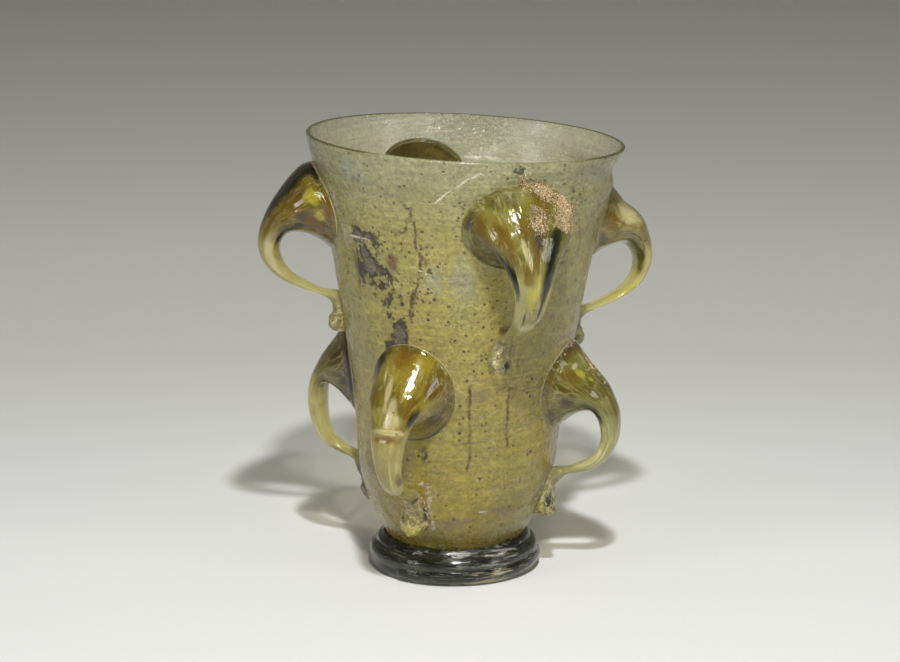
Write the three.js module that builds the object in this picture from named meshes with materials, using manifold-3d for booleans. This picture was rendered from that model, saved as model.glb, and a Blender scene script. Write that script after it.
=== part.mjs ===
// Multi-handled glass beaker of the claw-beaker kind: a blown body on a wound foot,
// with two staggered rows of four hollow claws. Millimetres, +Z up, foot on z = 0.
import * as THREE from 'three';
import { mergeVertices } from 'three/addons/utils/BufferGeometryUtils.js';
import Module from 'manifold-3d';

const wasm = await Module();
wasm.setup();

// Driving sizes of the blown body
const beakerHeight = 165;
const rimRadius = 59.2;
const neckRadius = 26.8;
const wallThickness = 1.9;
const rimThickness = 1.4;
const floorThickness = 3.2;
const undersideHeight = 4.6;
const kickHeight = 2.4;

// Driving sizes of the wound foot, which grips the body's neck from outside
const footHeight = 14.9;
const footOverhang = 5.8;
const footEdgeRound = 2.6;
const footInset = 3.6;
const grooveDepth = 0.9;
const footTurnCount = 2.6;
const footRadius = neckRadius + footOverhang;
const restRadius = footRadius - footEdgeRound;
const footBoreRadius = neckRadius - footInset;

// Space left between pieces that are fused on the real vessel
const seatClearance = 0.3;
const cutOverrun = 3;

// How far the hand-made vessel leans and how much its rim runs down on one side
const rimShift = 4.2;
const rimShiftAngle = 72;
const rimDrop = 3.3;
const rimDropAngle = 98;

// The wall is drawn in under the lip on one side, where the rim was pulled outwards
const lipHollowDepth = 2.7;
const lipHollowAngle = 72;
const lipHollowBelowRim = 8;
const lipHollowReach = 8;

// The two rows of claws; every length is in millimetres. A seat is the mouth of the
// hollow with a land of glass round it.
const upperRow = {
  seatBelowRim: 25,
  mouthHalfWidth: 16.5,
  mouthHalfHeight: 11.1,
  seatLand: 4.4,
  reach: 28,
  drop: 34,
  bulbHalfWidth: 17.6,
  trunkHalfWidth: 6.8,
  glassThickness: 2,
  tailLength: 14,
  tailThickness: 5.6,
  tailHalfWidth: 4.4,
};
const lowerRow = {
  tailAboveFoot: 8,
  mouthHalfWidth: 13.1,
  mouthHalfHeight: 14.4,
  seatLand: 4.7,
  reach: 24.2,
  drop: 37,
  bulbHalfWidth: 15.4,
  trunkHalfWidth: 6.4,
  glassThickness: 2,
  tailLength: 17,
  tailThickness: 5.6,
  tailHalfWidth: 5,
};
const upperSeatHeight = beakerHeight - upperRow.seatBelowRim;
const lowerSeatHeight = footHeight + lowerRow.tailAboveFoot + lowerRow.tailLength + lowerRow.drop;

// Place of each claw round the wall, in degrees from the front towards +X, and how it
// differs from its row: lift as a share of the seat's half height; size, height of the
// seat, reach and drop as shares of the row's; sideways sway of the trunk's end and of
// the tail, and sideways bow of its middle, as shares of the reach. How far its back is
// drawn in, its belly arched and its trunk thickened is a share of the stations' slim,
// arch and stout.
const upperPlaces = {
  upper_claw_left: {
    angle: -104,
    liftShare: -0.1, sizeShare: 1, heightShare: 1, reachShare: 0.98,
    dropShare: 0.98, swayShare: 0, tailSwayShare: 0.05, bowShare: 0,
    slimShare: 0, archShare: 0, stoutShare: 1,
  },
  upper_claw_front: {
    angle: 5,
    liftShare: 0.05, sizeShare: 1.09, heightShare: 1, reachShare: 0.97,
    dropShare: 1.24, swayShare: -0.09, tailSwayShare: -0.13, bowShare: -0.11,
    slimShare: 0, archShare: 0, stoutShare: 0,
  },
  upper_claw_right: {
    angle: 89,
    liftShare: -0.38, sizeShare: 1.03, heightShare: 1, reachShare: 0.96,
    dropShare: 1.07, swayShare: -0.1, tailSwayShare: -0.1, bowShare: 0,
    slimShare: 1, archShare: 0, stoutShare: 0,
  },
  upper_claw_back: {
    angle: 181,
    liftShare: 0.16, sizeShare: 1, heightShare: 1, reachShare: 1,
    dropShare: 1.05, swayShare: 0.1, tailSwayShare: -0.1, bowShare: 0,
    slimShare: 0.4, archShare: 0, stoutShare: 0.5,
  },
};
const lowerPlaces = {
  lower_claw_front_left: {
    angle: -44,
    liftShare: -0.04, sizeShare: 0.96, heightShare: 1, reachShare: 0.94,
    dropShare: 1.06, swayShare: 0, tailSwayShare: -0.1, bowShare: 0,
    slimShare: 0, archShare: 0, stoutShare: 0,
  },
  lower_claw_front_right: {
    angle: 55,
    liftShare: -0.16, sizeShare: 1, heightShare: 0.84, reachShare: 1,
    dropShare: 0.94, swayShare: 0.04, tailSwayShare: 0.06, bowShare: 0,
    slimShare: 0, archShare: 0.3, stoutShare: 0.3,
  },
  lower_claw_back_right: {
    angle: 143,
    liftShare: 0.02, sizeShare: 0.98, heightShare: 1, reachShare: 0.97,
    dropShare: 1.02, swayShare: -0.06, tailSwayShare: 0.08, bowShare: 0,
    slimShare: 0.3, archShare: 0.4, stoutShare: 0,
  },
  lower_claw_back_left: {
    angle: -128,
    liftShare: -0.1, sizeShare: 0.97, heightShare: 1, reachShare: 0.9,
    dropShare: 0.97, swayShare: 0.04, tailSwayShare: -0.05, bowShare: 0,
    slimShare: 0, archShare: 1, stoutShare: 1.1,
  },
};
// Stations from the seat to the end of the tail. Across the claw's middle plane,
// back is the outer side and belly the side that faces the vessel. Distance out of the
// wall is a share of the reach plus one of the tail's thickness; height from the
// seat's middle is a share of the seat's half height (rise) less shares of the drop
// and of the tail's length. Slim and arch are shares of the seat's half height, stout
// one of the reach, for the claws that differ.
const upperBackShares = [
  { rise: 1 },
  { reach: 0.06, rise: 0.97, slim: 0.07 },
  { reach: 0.19, rise: 0.88, slim: 0.2 },
  { reach: 0.37, rise: 0.63, slim: 0.24 },
  { reach: 0.54, rise: 0.33, slim: 0.11 },
  { reach: 0.7, rise: 0.02, slim: 0.02 },
  { reach: 0.84, drop: 0.15 },
  { reach: 0.95, drop: 0.31 },
  { reach: 1, drop: 0.46 },
  { reach: 0.98, drop: 0.62 },
  { reach: 0.88, drop: 0.76 },
  { reach: 0.7, drop: 0.87 },
  { reach: 0.47, drop: 0.95 },
  { reach: 0.25, drop: 1.01 },
  { reach: 0.07, tail: 0.18, drop: 1.01, thick: 0.3 },
  { tail: 0.42, drop: 1.01, thick: 0.6 },
  { tail: 0.7, drop: 1.01, thick: 1 },
  { tail: 0.93, drop: 1.01, thick: 0.86 },
];
const upperBellyShares = [
  { rise: -1 },
  { reach: 0.05, rise: -0.96 },
  { reach: 0.11, rise: -0.86 },
  { reach: 0.22, rise: -0.74 },
  { reach: 0.34, rise: -0.66 },
  { reach: 0.46, rise: -0.64 },
  { reach: 0.59, drop: 0.33, stout: 0.02 },
  { reach: 0.7, drop: 0.41, stout: 0.05 },
  { reach: 0.76, drop: 0.51, stout: 0.07 },
  { reach: 0.76, drop: 0.62, stout: 0.08 },
  { reach: 0.69, drop: 0.72, stout: 0.07 },
  { reach: 0.55, drop: 0.81, stout: 0.05 },
  { reach: 0.38, drop: 0.88, stout: 0.03 },
  { reach: 0.21, drop: 0.94 },
  { reach: -0.01, drop: 0.98, thick: -0.15 },
  { tail: 0.4, drop: 1, thick: -0.3 },
  { tail: 0.72, drop: 1, thick: -0.3 },
  { tail: 0.96, drop: 1, thick: -0.3 },
];
const lowerBackShares = [
  { rise: 1 },
  { reach: 0.06, rise: 0.95, slim: 0.05 },
  { reach: 0.17, rise: 0.78, slim: 0.12 },
  { reach: 0.33, rise: 0.55, slim: 0.12 },
  { reach: 0.5, rise: 0.32, slim: 0.06 },
  { reach: 0.68, rise: 0.07 },
  { reach: 0.85, drop: 0.13 },
  { reach: 0.96, drop: 0.3 },
  { reach: 1, drop: 0.48 },
  { reach: 0.97, drop: 0.65 },
  { reach: 0.85, drop: 0.82 },
  { reach: 0.66, drop: 0.93 },
  { reach: 0.45, drop: 0.99 },
  { reach: 0.26, drop: 1.03 },
  { reach: 0.08, tail: 0.16, drop: 1.04, thick: 0.4 },
  { tail: 0.4, drop: 1.04, thick: 0.6 },
  { tail: 0.7, drop: 1.04, thick: 1 },
  { tail: 0.93, drop: 1.04, thick: 0.9 },
];
const lowerBellyShares = [
  { rise: -1 },
  { reach: 0.05, rise: -0.97 },
  { reach: 0.08, rise: -0.9 },
  { reach: 0.16, rise: -0.82, arch: 0.03 },
  { reach: 0.27, rise: -0.7, arch: 0.08 },
  { reach: 0.4, rise: -0.62, arch: 0.14 },
  { reach: 0.52, rise: -0.6, arch: 0.2 },
  { reach: 0.63, drop: 0.36, arch: 0.2 },
  { reach: 0.71, drop: 0.47, arch: 0.12, stout: 0.05 },
  { reach: 0.74, drop: 0.6, arch: 0.04, stout: 0.07 },
  { reach: 0.68, drop: 0.74, stout: 0.06 },
  { reach: 0.55, drop: 0.83, stout: 0.04 },
  { reach: 0.39, drop: 0.88 },
  { reach: 0.23, drop: 0.93 },
  { reach: 0, drop: 0.98, thick: -0.15 },
  { tail: 0.38, drop: 1.02, thick: -0.3 },
  { tail: 0.7, drop: 1.02, thick: -0.3 },
  { tail: 0.96, drop: 1.02, thick: -0.3 },
];
// Half width at each station, from the seat's, the bulb's, the trunk's and the tail's
const halfWidthShares = [
  { seat: 1 },
  { seat: 0.97 },
  { seat: 0.3, bulb: 0.68 },
  { bulb: 0.96 },
  { bulb: 0.88 },
  { bulb: 0.76 },
  { bulb: 0.4, trunk: 0.45 },
  { bulb: 0.12, trunk: 0.92 },
  { trunk: 1 },
  { trunk: 0.86 },
  { trunk: 0.74 },
  { trunk: 0.65 },
  { trunk: 0.57 },
  { trunk: 0.52 },
  { tail: 0.76 },
  { tail: 0.95 },
  { tail: 1 },
  { tail: 0.62 },
];
// Shares of the way along the stations: where the hollow starts and ends, where the
// trunk starts to sway and where it lands on the wall
const hollowStartShare = 0.11;
const hollowEndShare = 0.39;
const swayStartShare = 0.24;
const landingShare = 0.8;

// Outline of the wall from the neck to the rim: height as a share of the wall's
// height, radius as a share of the step from the neck's to the rim's
const wallShares = [
  { height: 0, radius: 0 },
  { height: 0.037, radius: 0.108 },
  { height: 0.093, radius: 0.214 },
  { height: 0.171, radius: 0.314 },
  { height: 0.263, radius: 0.36 },
  { height: 0.4, radius: 0.43 },
  { height: 0.56, radius: 0.556 },
  { height: 0.727, radius: 0.692 },
  { height: 0.83, radius: 0.8 },
  { height: 0.9, radius: 0.88 },
  { height: 0.96, radius: 0.965 },
  { height: 1, radius: 1 },
];
// Underside of the blown body inside the foot, from the centre to the neck
const undersideShares = [
  { radius: 0, kick: 1, climb: 0 },
  { radius: 0.28, kick: 0.5, climb: 0 },
  { radius: 0.56, kick: 0, climb: 0 },
  { radius: 0.8, kick: 0, climb: 0.2 },
  { radius: 0.92, kick: 0, climb: 0.52 },
];
// Outer side of the foot from the table up: radius as a share of the step from the
// neck's radius to the foot's
const footShares = [
  { height: 0.05, radius: 0.78 },
  { height: 0.15, radius: 0.98 },
  { height: 0.27, radius: 1 },
  { height: 0.4, radius: 0.95 },
  { height: 0.53, radius: 0.8 },
  { height: 0.66, radius: 0.6 },
  { height: 0.79, radius: 0.4 },
  { height: 0.9, radius: 0.25 },
  { height: 0.97, radius: 0.1 },
];
// Inner side of the foot, laid under the body's surface before the body is cut from it:
// radius as a share of the neck's plus a share of the foot's bore
const footSeatShares = [
  { height: 0.97, neck: 1, bore: 0 },
  { height: 0.9, neck: 0.8, bore: 0 },
  { height: 0.6, neck: 0.74, bore: 0 },
  { height: 0.2, neck: 0.37, bore: 0.5 },
];
// The floor's thickness runs out into the wall's up to this share of the wall's height
const floorBlendShare = 0.25;

// Facets of the round shapes
const bodySegmentCount = 40;
const wallSampleCount = 12;
const undersideSampleCount = 5;
const clawSideCount = 16;
const clawRingCount = 16;
const hollowRingCount = 4;
const mouthQuarterSideCount = 5;

const radians = THREE.MathUtils.degToRad;
const lerp = THREE.MathUtils.lerp;

function splineCurve(points) {
  return new THREE.SplineCurve(points.map(([x, y]) => new THREE.Vector2(x, y)));
}

// Outer outline of the blown body from the centre of its underside to the rim
const wallHeight = beakerHeight - footHeight;
const wallPoints = wallShares.map(({ height, radius }) => [
  lerp(neckRadius, rimRadius, radius),
  footHeight + wallHeight * height,
]);
const undersidePoints = undersideShares.map(({ radius, kick, climb }) => [
  neckRadius * radius,
  lerp(undersideHeight, footHeight, climb) + kickHeight * kick,
]);
const wallOutline = splineCurve(wallPoints).getPoints(wallSampleCount);
const undersideOutline = splineCurve([...undersidePoints, wallPoints[0]])
  .getPoints(undersideSampleCount)
  .slice(0, -1);

function wallRadiusAt(z) {
  if (z <= wallOutline[0].y) return wallOutline[0].x;
  const above = wallOutline.findIndex((point) => point.y >= z);
  if (above < 0) return wallOutline.at(-1).x;
  const [low, high] = [wallOutline[above - 1], wallOutline[above]];
  return lerp(low.x, high.x, (z - low.y) / (high.y - low.y));
}

// Moves an outline along its normals: outwards for a positive distance
function offsetOutline(points, distanceAt) {
  return points.map((point, i) => {
    const before = points[Math.max(i - 1, 0)];
    const after = points[Math.min(i + 1, points.length - 1)];
    const along = new THREE.Vector2().subVectors(after, before).normalize();
    const distance = distanceAt(i);
    const moved = new THREE.Vector2(point.x + along.y * distance, point.y - along.x * distance);
    if (i === 0) moved.x = 0;
    return moved;
  });
}

// Turns any closed geometry into a solid with its faces outwards
function solidFrom(geometry) {
  const bare = geometry.clone();
  bare.deleteAttribute('normal');
  bare.deleteAttribute('uv');
  const merged = mergeVertices(bare);
  const place = merged.getAttribute('position');
  const corners = [];
  let volume = 0;
  const [a, b, c] = [new THREE.Vector3(), new THREE.Vector3(), new THREE.Vector3()];
  for (let i = 0; i < merged.index.count; i += 3) {
    const face = [0, 1, 2].map((k) => merged.index.getX(i + k));
    if (new Set(face).size < 3) continue;
    corners.push(face);
    a.fromBufferAttribute(place, face[0]);
    b.fromBufferAttribute(place, face[1]);
    c.fromBufferAttribute(place, face[2]);
    volume += a.dot(b.cross(c));
  }
  if (volume < 0) corners.forEach((face) => face.reverse());
  const mesh = new wasm.Mesh({
    numProp: 3,
    vertProperties: new Float32Array(place.array),
    triVerts: new Uint32Array(corners.flat()),
  });
  return new wasm.Manifold(mesh);
}

function latheSolid(points) {
  const geometry = new THREE.LatheGeometry(points, bodySegmentCount);
  geometry.rotateX(Math.PI / 2);
  return solidFrom(geometry);
}

// A closed skin over rings of points, capped at both ends
function ringGeometry(rings) {
  const sides = rings[0].length;
  const points = rings.flat();
  const index = [];
  for (let r = 0; r < rings.length - 1; r += 1) {
    for (let s = 0; s < sides; s += 1) {
      const next = (s + 1) % sides;
      const [p, q] = [r * sides + s, r * sides + next];
      const [u, v] = [p + sides, q + sides];
      index.push(p, q, v, p, v, u);
    }
  }
  [0, rings.length - 1].forEach((r) => {
    const centre = new THREE.Vector3();
    rings[r].forEach((point) => centre.addScaledVector(point, 1 / sides));
    const hub = points.push(centre) - 1;
    for (let s = 0; s < sides; s += 1) {
      const [p, q] = [r * sides + s, r * sides + ((s + 1) % sides)];
      index.push(...(r === 0 ? [hub, q, p] : [hub, p, q]));
    }
  });
  const geometry = new THREE.BufferGeometry().setFromPoints(points);
  geometry.setIndex(index);
  return geometry;
}

// A place out of the wall: azimuth in degrees, the rest in lengths
function onWall(azimuth, out, side, z) {
  const radius = wallRadiusAt(z) + out;
  const angle = radians(azimuth) + side / radius;
  return new THREE.Vector3(radius * Math.sin(angle), -radius * Math.cos(angle), z);
}

// How far the wall is drawn in at a place under the lip
function lipHollowAt(point) {
  const away = (beakerHeight - lipHollowBelowRim - point.z) / lipHollowReach;
  if (Math.abs(away) >= 1) return 0;
  const turn = Math.atan2(point.x, -point.y) - radians(lipHollowAngle);
  return lipHollowDepth * Math.max(Math.cos(turn), 0) ** 3 * Math.cos((away * Math.PI) / 2) ** 2;
}

// The vessel as it stands: it leans a little and its rim runs down on one side
function settle(point) {
  const share = point.z / beakerHeight;
  const low = radians(rimDropAngle);
  const towardsLow = (point.x * Math.sin(low) - point.y * Math.cos(low)) / rimRadius;
  const lean = radians(rimShiftAngle);
  const draw = 1 - lipHollowAt(point) / rimRadius;
  return new THREE.Vector3(
    point.x * draw + rimShift * share * Math.sin(lean),
    point.y * draw - rimShift * share * Math.cos(lean),
    point.z - rimDrop * share * share * towardsLow,
  );
}

function pieceFrom(solid, name, finish) {
  const mesh = solid.getMesh();
  const points = [];
  for (let i = 0; i < mesh.vertProperties.length; i += mesh.numProp) {
    const [x, y, z] = mesh.vertProperties.slice(i, i + 3);
    points.push(settle(new THREE.Vector3(x, y, z)));
  }
  const geometry = new THREE.BufferGeometry().setFromPoints(points);
  geometry.setIndex([...mesh.triVerts]);
  geometry.computeVertexNormals();
  const piece = new THREE.Mesh(geometry, new THREE.MeshStandardMaterial(finish));
  piece.name = name;
  return piece;
}

// Blown body: outer and inner outline in one closed profile
function bodyShell() {
  const outer = [...undersideOutline, ...wallOutline];
  const lastUnderside = undersideOutline.length - 1;
  const inner = offsetOutline(outer, (i) => {
    const share = Math.max(i - lastUnderside, 0) / (outer.length - 1 - lastUnderside);
    const lowThickness = lerp(floorThickness, wallThickness, Math.min(share / floorBlendShare, 1));
    return -lerp(lowThickness, rimThickness, share ** 3);
  });
  inner.at(-1).y = outer.at(-1).y;
  return latheSolid([...outer, ...inner.reverse()]);
}

function bodyEnvelope(growth) {
  const outer = offsetOutline([...undersideOutline, ...wallOutline], () => growth);
  return latheSolid([...outer, new THREE.Vector2(0, outer.at(-1).y)]);
}

// Elliptical hole through the wall into the hollow of a claw
function mouthCutter(plan) {
  const outline = new THREE.Shape();
  outline.absellipse(0, 0, plan.mouthHalfWidth, plan.mouthHalfHeight, 0, 2 * Math.PI);
  const depth = plan.mouthHalfWidth + plan.mouthHalfHeight;
  const geometry = new THREE.ExtrudeGeometry(outline, {
    depth,
    bevelEnabled: false,
    curveSegments: 2 * mouthQuarterSideCount,
  });
  const nearEnd = wallRadiusAt(plan.seatZ) - depth / 2;
  geometry.rotateX(Math.PI / 2);
  geometry.translate(0, -nearEnd, plan.seatZ);
  geometry.rotateZ(radians(plan.azimuth));
  return solidFrom(geometry);
}

// Sizes and place of one claw, from its row and its own shares
function clawPlan(row, name, place, rowHeight, backShares, bellyShares) {
  const mouthHalfWidth = row.mouthHalfWidth * place.sizeShare;
  const mouthHalfHeight = row.mouthHalfHeight * place.sizeShare * place.heightShare;
  const seatHalfWidth = mouthHalfWidth + row.seatLand;
  const seatHalfHeight = mouthHalfHeight + row.seatLand;
  const seatZ = rowHeight + seatHalfHeight * place.liftShare;
  const reach = row.reach * place.reachShare;
  const drop = row.drop * place.dropShare;
  const stationPoint = (station) => {
    const { reach: out = 0, thick = 0, rise = 0, drop: fall = 0, tail = 0 } = station;
    const { slim = 0, arch = 0, stout = 0 } = station;
    const climb = rise - slim * place.slimShare + arch * place.archShare;
    return [
      reach * (out - stout * place.stoutShare) + row.tailThickness * thick,
      seatZ + seatHalfHeight * climb - drop * fall - row.tailLength * tail,
    ];
  };
  const width = ({ seat = 0, bulb = 0, trunk = 0, tail = 0 }) =>
    seatHalfWidth * seat
    + row.bulbHalfWidth * place.sizeShare * bulb
    + row.trunkHalfWidth * trunk
    + row.tailHalfWidth * tail;
  return {
    name,
    azimuth: place.angle,
    seatZ,
    seatHalfWidth,
    seatHalfHeight,
    mouthHalfWidth,
    mouthHalfHeight,
    glassThickness: row.glassThickness,
    sway: reach * place.swayShare,
    tailSway: reach * place.tailSwayShare,
    bow: reach * place.bowShare,
    back: splineCurve(backShares.map(stationPoint)),
    belly: splineCurve(bellyShares.map(stationPoint)),
    halfWidth: splineCurve(halfWidthShares.map((station, i) => [i, width(station)])),
  };
}

function swayAt(plan, t) {
  if (t <= landingShare) {
    return plan.sway * THREE.MathUtils.smoothstep(t, swayStartShare, landingShare)
      + plan.bow * Math.sin((Math.PI * t) / landingShare);
  }
  return lerp(plan.sway, plan.tailSway, (t - landingShare) / (1 - landingShare));
}

// One elliptical ring of the claw; glass is how far it lies inside the outer skin
function clawRing(plan, t, glass) {
  const back = plan.back.getPoint(t);
  const belly = plan.belly.getPoint(t);
  const middle = new THREE.Vector2().addVectors(back, belly).multiplyScalar(0.5);
  const across = new THREE.Vector2().subVectors(back, middle);
  across.setLength(across.length() - glass);
  const halfWidth = plan.halfWidth.getPoint(t).y - glass;
  const sway = swayAt(plan, t);
  return Array.from({ length: clawSideCount }, (_, s) => {
    const angle = (2 * Math.PI * s) / clawSideCount;
    const place = middle.clone().addScaledVector(across, Math.cos(angle));
    return onWall(plan.azimuth, place.x, sway + halfWidth * Math.sin(angle), place.y);
  });
}

// Ellipse round the seat's middle, laid on the wall at a distance out of it
function seatRing(plan, halfWidth, halfHeight, out) {
  return Array.from({ length: clawSideCount }, (_, s) => {
    const angle = (2 * Math.PI * s) / clawSideCount;
    const z = plan.seatZ + halfHeight * Math.cos(angle);
    return onWall(plan.azimuth, out, halfWidth * Math.sin(angle), z);
  });
}

// The skin starts under the wall's surface, so that the cut leaves a close-fitting seat
function clawSolid(plan, envelope) {
  const { seatHalfWidth, seatHalfHeight, mouthHalfWidth, mouthHalfHeight } = plan;
  const skin = [seatRing(plan, seatHalfWidth, seatHalfHeight, -cutOverrun)];
  for (let r = 0; r < clawRingCount; r += 1) skin.push(clawRing(plan, r / (clawRingCount - 1), 0));
  const hollow = [
    seatRing(plan, mouthHalfWidth, mouthHalfHeight, -cutOverrun),
    seatRing(plan, mouthHalfWidth, mouthHalfHeight, seatClearance),
  ];
  for (let r = 0; r < hollowRingCount; r += 1) {
    const t = lerp(hollowStartShare, hollowEndShare, r / (hollowRingCount - 1));
    hollow.push(clawRing(plan, t, plan.glassThickness));
  }
  return solidFrom(ringGeometry(skin)).subtract(envelope).subtract(solidFrom(ringGeometry(hollow)));
}

// Wound foot: a fused coil whose groove climbs steadily round the ring
function footSolid(envelope) {
  const pitch = footHeight / footTurnCount;
  const inner = footSeatShares.map(({ height, neck, bore }) => [
    neckRadius * neck + footBoreRadius * bore,
    footHeight * height,
  ]);
  const sections = Array.from({ length: bodySegmentCount }, (_, k) => {
    const turn = k / bodySegmentCount;
    const outer = footShares.map(({ height, radius }) => {
      const z = footHeight * height;
      const phase = z / pitch + turn;
      const groove = grooveDepth * Math.cos(Math.PI * phase) ** 6;
      return [lerp(neckRadius, footRadius, radius) - groove, z];
    });
    const angle = 2 * Math.PI * turn;
    return [[footBoreRadius, 0], [restRadius, 0], ...outer, ...inner].map(
      ([radius, z]) => new THREE.Vector3(radius * Math.cos(angle), radius * Math.sin(angle), z),
    );
  });
  const ring = sections[0].length;
  const index = [];
  for (let k = 0; k < bodySegmentCount; k += 1) {
    const next = (k + 1) % bodySegmentCount;
    for (let i = 0; i < ring; i += 1) {
      const j = (i + 1) % ring;
      const [p, q, u, v] = [k * ring + i, k * ring + j, next * ring + i, next * ring + j];
      index.push(p, u, v, p, v, q);
    }
  }
  const geometry = new THREE.BufferGeometry().setFromPoints(sections.flat());
  geometry.setIndex(index);
  return solidFrom(geometry).subtract(envelope);
}

const bodyFinish = { color: 0x96905c, roughness: 0.22, metalness: 0, transparent: true, opacity: 0.75 };
const clawFinish = { color: 0x7d7a35, roughness: 0.15, metalness: 0, transparent: true, opacity: 0.85 };
const footFinish = { color: 0x262a20, roughness: 0.18, metalness: 0 };

const envelope = bodyEnvelope(seatClearance);
const claws = [
  ...Object.entries(upperPlaces).map(([name, place]) =>
    clawPlan(upperRow, name, place, upperSeatHeight, upperBackShares, upperBellyShares)),
  ...Object.entries(lowerPlaces).map(([name, place]) =>
    clawPlan(lowerRow, name, place, lowerSeatHeight, lowerBackShares, lowerBellyShares)),
];

const beaker = new THREE.Group();
const body = claws.reduce((shell, plan) => shell.subtract(mouthCutter(plan)), bodyShell());
beaker.add(pieceFrom(body, 'blown_body', bodyFinish));
beaker.add(pieceFrom(footSolid(envelope), 'coiled_foot', footFinish));
claws.forEach((plan) => {
  beaker.add(pieceFrom(clawSolid(plan, envelope), plan.name, clawFinish));
});

// The origin lies under the middle of the vessel's width and depth
const middle = new THREE.Box3().setFromObject(beaker).getCenter(new THREE.Vector3());
beaker.position.set(-middle.x, -middle.y, 0);

export default beaker;
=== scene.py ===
import bpy
import math
import numpy as np
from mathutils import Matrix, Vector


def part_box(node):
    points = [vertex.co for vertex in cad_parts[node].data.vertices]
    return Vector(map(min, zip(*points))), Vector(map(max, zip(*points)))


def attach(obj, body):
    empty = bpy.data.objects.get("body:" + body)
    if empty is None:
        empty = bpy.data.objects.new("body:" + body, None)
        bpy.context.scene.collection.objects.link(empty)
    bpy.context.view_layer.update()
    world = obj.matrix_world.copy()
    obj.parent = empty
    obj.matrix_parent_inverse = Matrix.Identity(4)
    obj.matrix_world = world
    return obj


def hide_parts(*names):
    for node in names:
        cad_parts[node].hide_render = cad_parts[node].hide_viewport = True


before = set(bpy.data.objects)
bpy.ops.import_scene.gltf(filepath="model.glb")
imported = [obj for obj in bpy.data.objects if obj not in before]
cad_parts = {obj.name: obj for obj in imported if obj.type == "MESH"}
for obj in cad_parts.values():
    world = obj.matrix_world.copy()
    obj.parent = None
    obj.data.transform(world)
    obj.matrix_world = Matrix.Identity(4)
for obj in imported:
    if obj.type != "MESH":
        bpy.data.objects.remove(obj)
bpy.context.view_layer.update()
rootBody = "root"
mm = 0.001

# The vessel's own sizes, in millimetres and degrees, as on the construction model
vessel = {
    "height": 165, "rimRadius": 59.2, "neckRadius": 26.8,
    "wall": 1.9, "rimWall": 1.4, "floor": 3.2,
    "undersideHeight": 4.6, "kick": 2.4, "footHeight": 14.9,
    "lean": 4.2, "leanAngle": 72, "rimDrop": 3.3, "rimDropAngle": 98,
}
footLow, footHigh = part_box("coiled_foot")
footAxis = np.array([footLow.x + footHigh.x, footLow.y + footHigh.y]) / 2 / mm


def splineAt(points, shares):
    # Catmull-Rom through evenly counted points, ends held
    pts = np.array(points, float)
    last = len(pts) - 1
    x = np.clip(np.asarray(shares, float), 0, 1) * last
    i = np.minimum(x.astype(int), last - 1)
    w = (x - i)[..., None] if pts.ndim > 1 else x - i
    p0, p1 = pts[np.maximum(i - 1, 0)], pts[i]
    p2, p3 = pts[i + 1], pts[np.minimum(i + 2, last)]
    v0, v1 = (p2 - p0) / 2, (p3 - p1) / 2
    return (2 * p1 - 2 * p2 + v0 + v1) * w**3 + (3 * p2 - 3 * p1 - 2 * v0 - v1) * w**2 + v0 * w + p1


def smooth(low, high, x):
    t = np.clip((x - low) / (high - low), 0, 1)
    return t * t * (3 - 2 * t)


# Wall outline: height share, radius share from the neck to the rim
wallShares = [
    (0, 0), (0.037, 0.108), (0.093, 0.214), (0.171, 0.314), (0.263, 0.36), (0.4, 0.43),
    (0.56, 0.556), (0.727, 0.692), (0.83, 0.8), (0.9, 0.88), (0.96, 0.965), (1, 1),
]
undersideShares = [(0, 1, 0), (0.28, 0.5, 0), (0.56, 0, 0), (0.8, 0, 0.2), (0.92, 0, 0.52)]
neckZ = vessel["footHeight"]
wallOutline = splineAt(
    [(vessel["neckRadius"] + (vessel["rimRadius"] - vessel["neckRadius"]) * r,
      neckZ + (vessel["height"] - neckZ) * h) for h, r in wallShares],
    np.linspace(0, 1, 500))
undersideOutline = splineAt(
    [(vessel["neckRadius"] * r, vessel["undersideHeight"]
      + (neckZ - vessel["undersideHeight"]) * c + vessel["kick"] * k) for r, k, c in undersideShares]
    + [tuple(wallOutline[0])], np.linspace(0, 1, 60))


def wallRadius(z):
    return np.interp(z, wallOutline[:, 1], wallOutline[:, 0])


# Hand-blown unevenness in millimetres: depth, waves round the wall, their rise and their start
swells = [(0.16, 2, 41, 0), (0.1, 3, -19, 1), (0.07, 5, 11, 0)]
ripple = {"depth": 0.04, "height": 1.7, "drift": 1.4, "from": 20, "full": 60}


def swell(azimuth, z):
    a = np.radians(azimuth)
    broad = sum(depth * np.sin(waves * a + z / rise + start) for depth, waves, rise, start in swells)
    fine = ripple["depth"] * np.sin(z / ripple["height"] + ripple["drift"] * np.sin(a))
    return (broad + fine) * smooth(ripple["from"], ripple["full"], z)


# The wall is drawn in under the lip on one side
lipHollow = {"depth": 2.7, "angle": 72, "belowRim": 8, "reach": 8}


def settle(points):
    # The vessel leans a little and its rim runs down on one side
    p = np.array(points, float)
    share = p[..., 2] / vessel["height"]
    low, lean = math.radians(vessel["rimDropAngle"]), math.radians(vessel["leanAngle"])
    toLow = (p[..., 0] * math.sin(low) - p[..., 1] * math.cos(low)) / vessel["rimRadius"]
    turn = np.arctan2(p[..., 0], -p[..., 1]) - math.radians(lipHollow["angle"])
    away = np.clip((vessel["height"] - lipHollow["belowRim"] - p[..., 2]) / lipHollow["reach"], -1, 1)
    hollow = lipHollow["depth"] * np.maximum(np.cos(turn), 0) ** 3 * np.cos(away * math.pi / 2) ** 2
    p[..., :2] *= (1 - hollow / vessel["rimRadius"])[..., None]
    p[..., 0] += vessel["lean"] * share * math.sin(lean) + footAxis[0]
    p[..., 1] += footAxis[1] - vessel["lean"] * share * math.cos(lean)
    p[..., 2] -= vessel["rimDrop"] * share**2 * toLow
    return p


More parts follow.
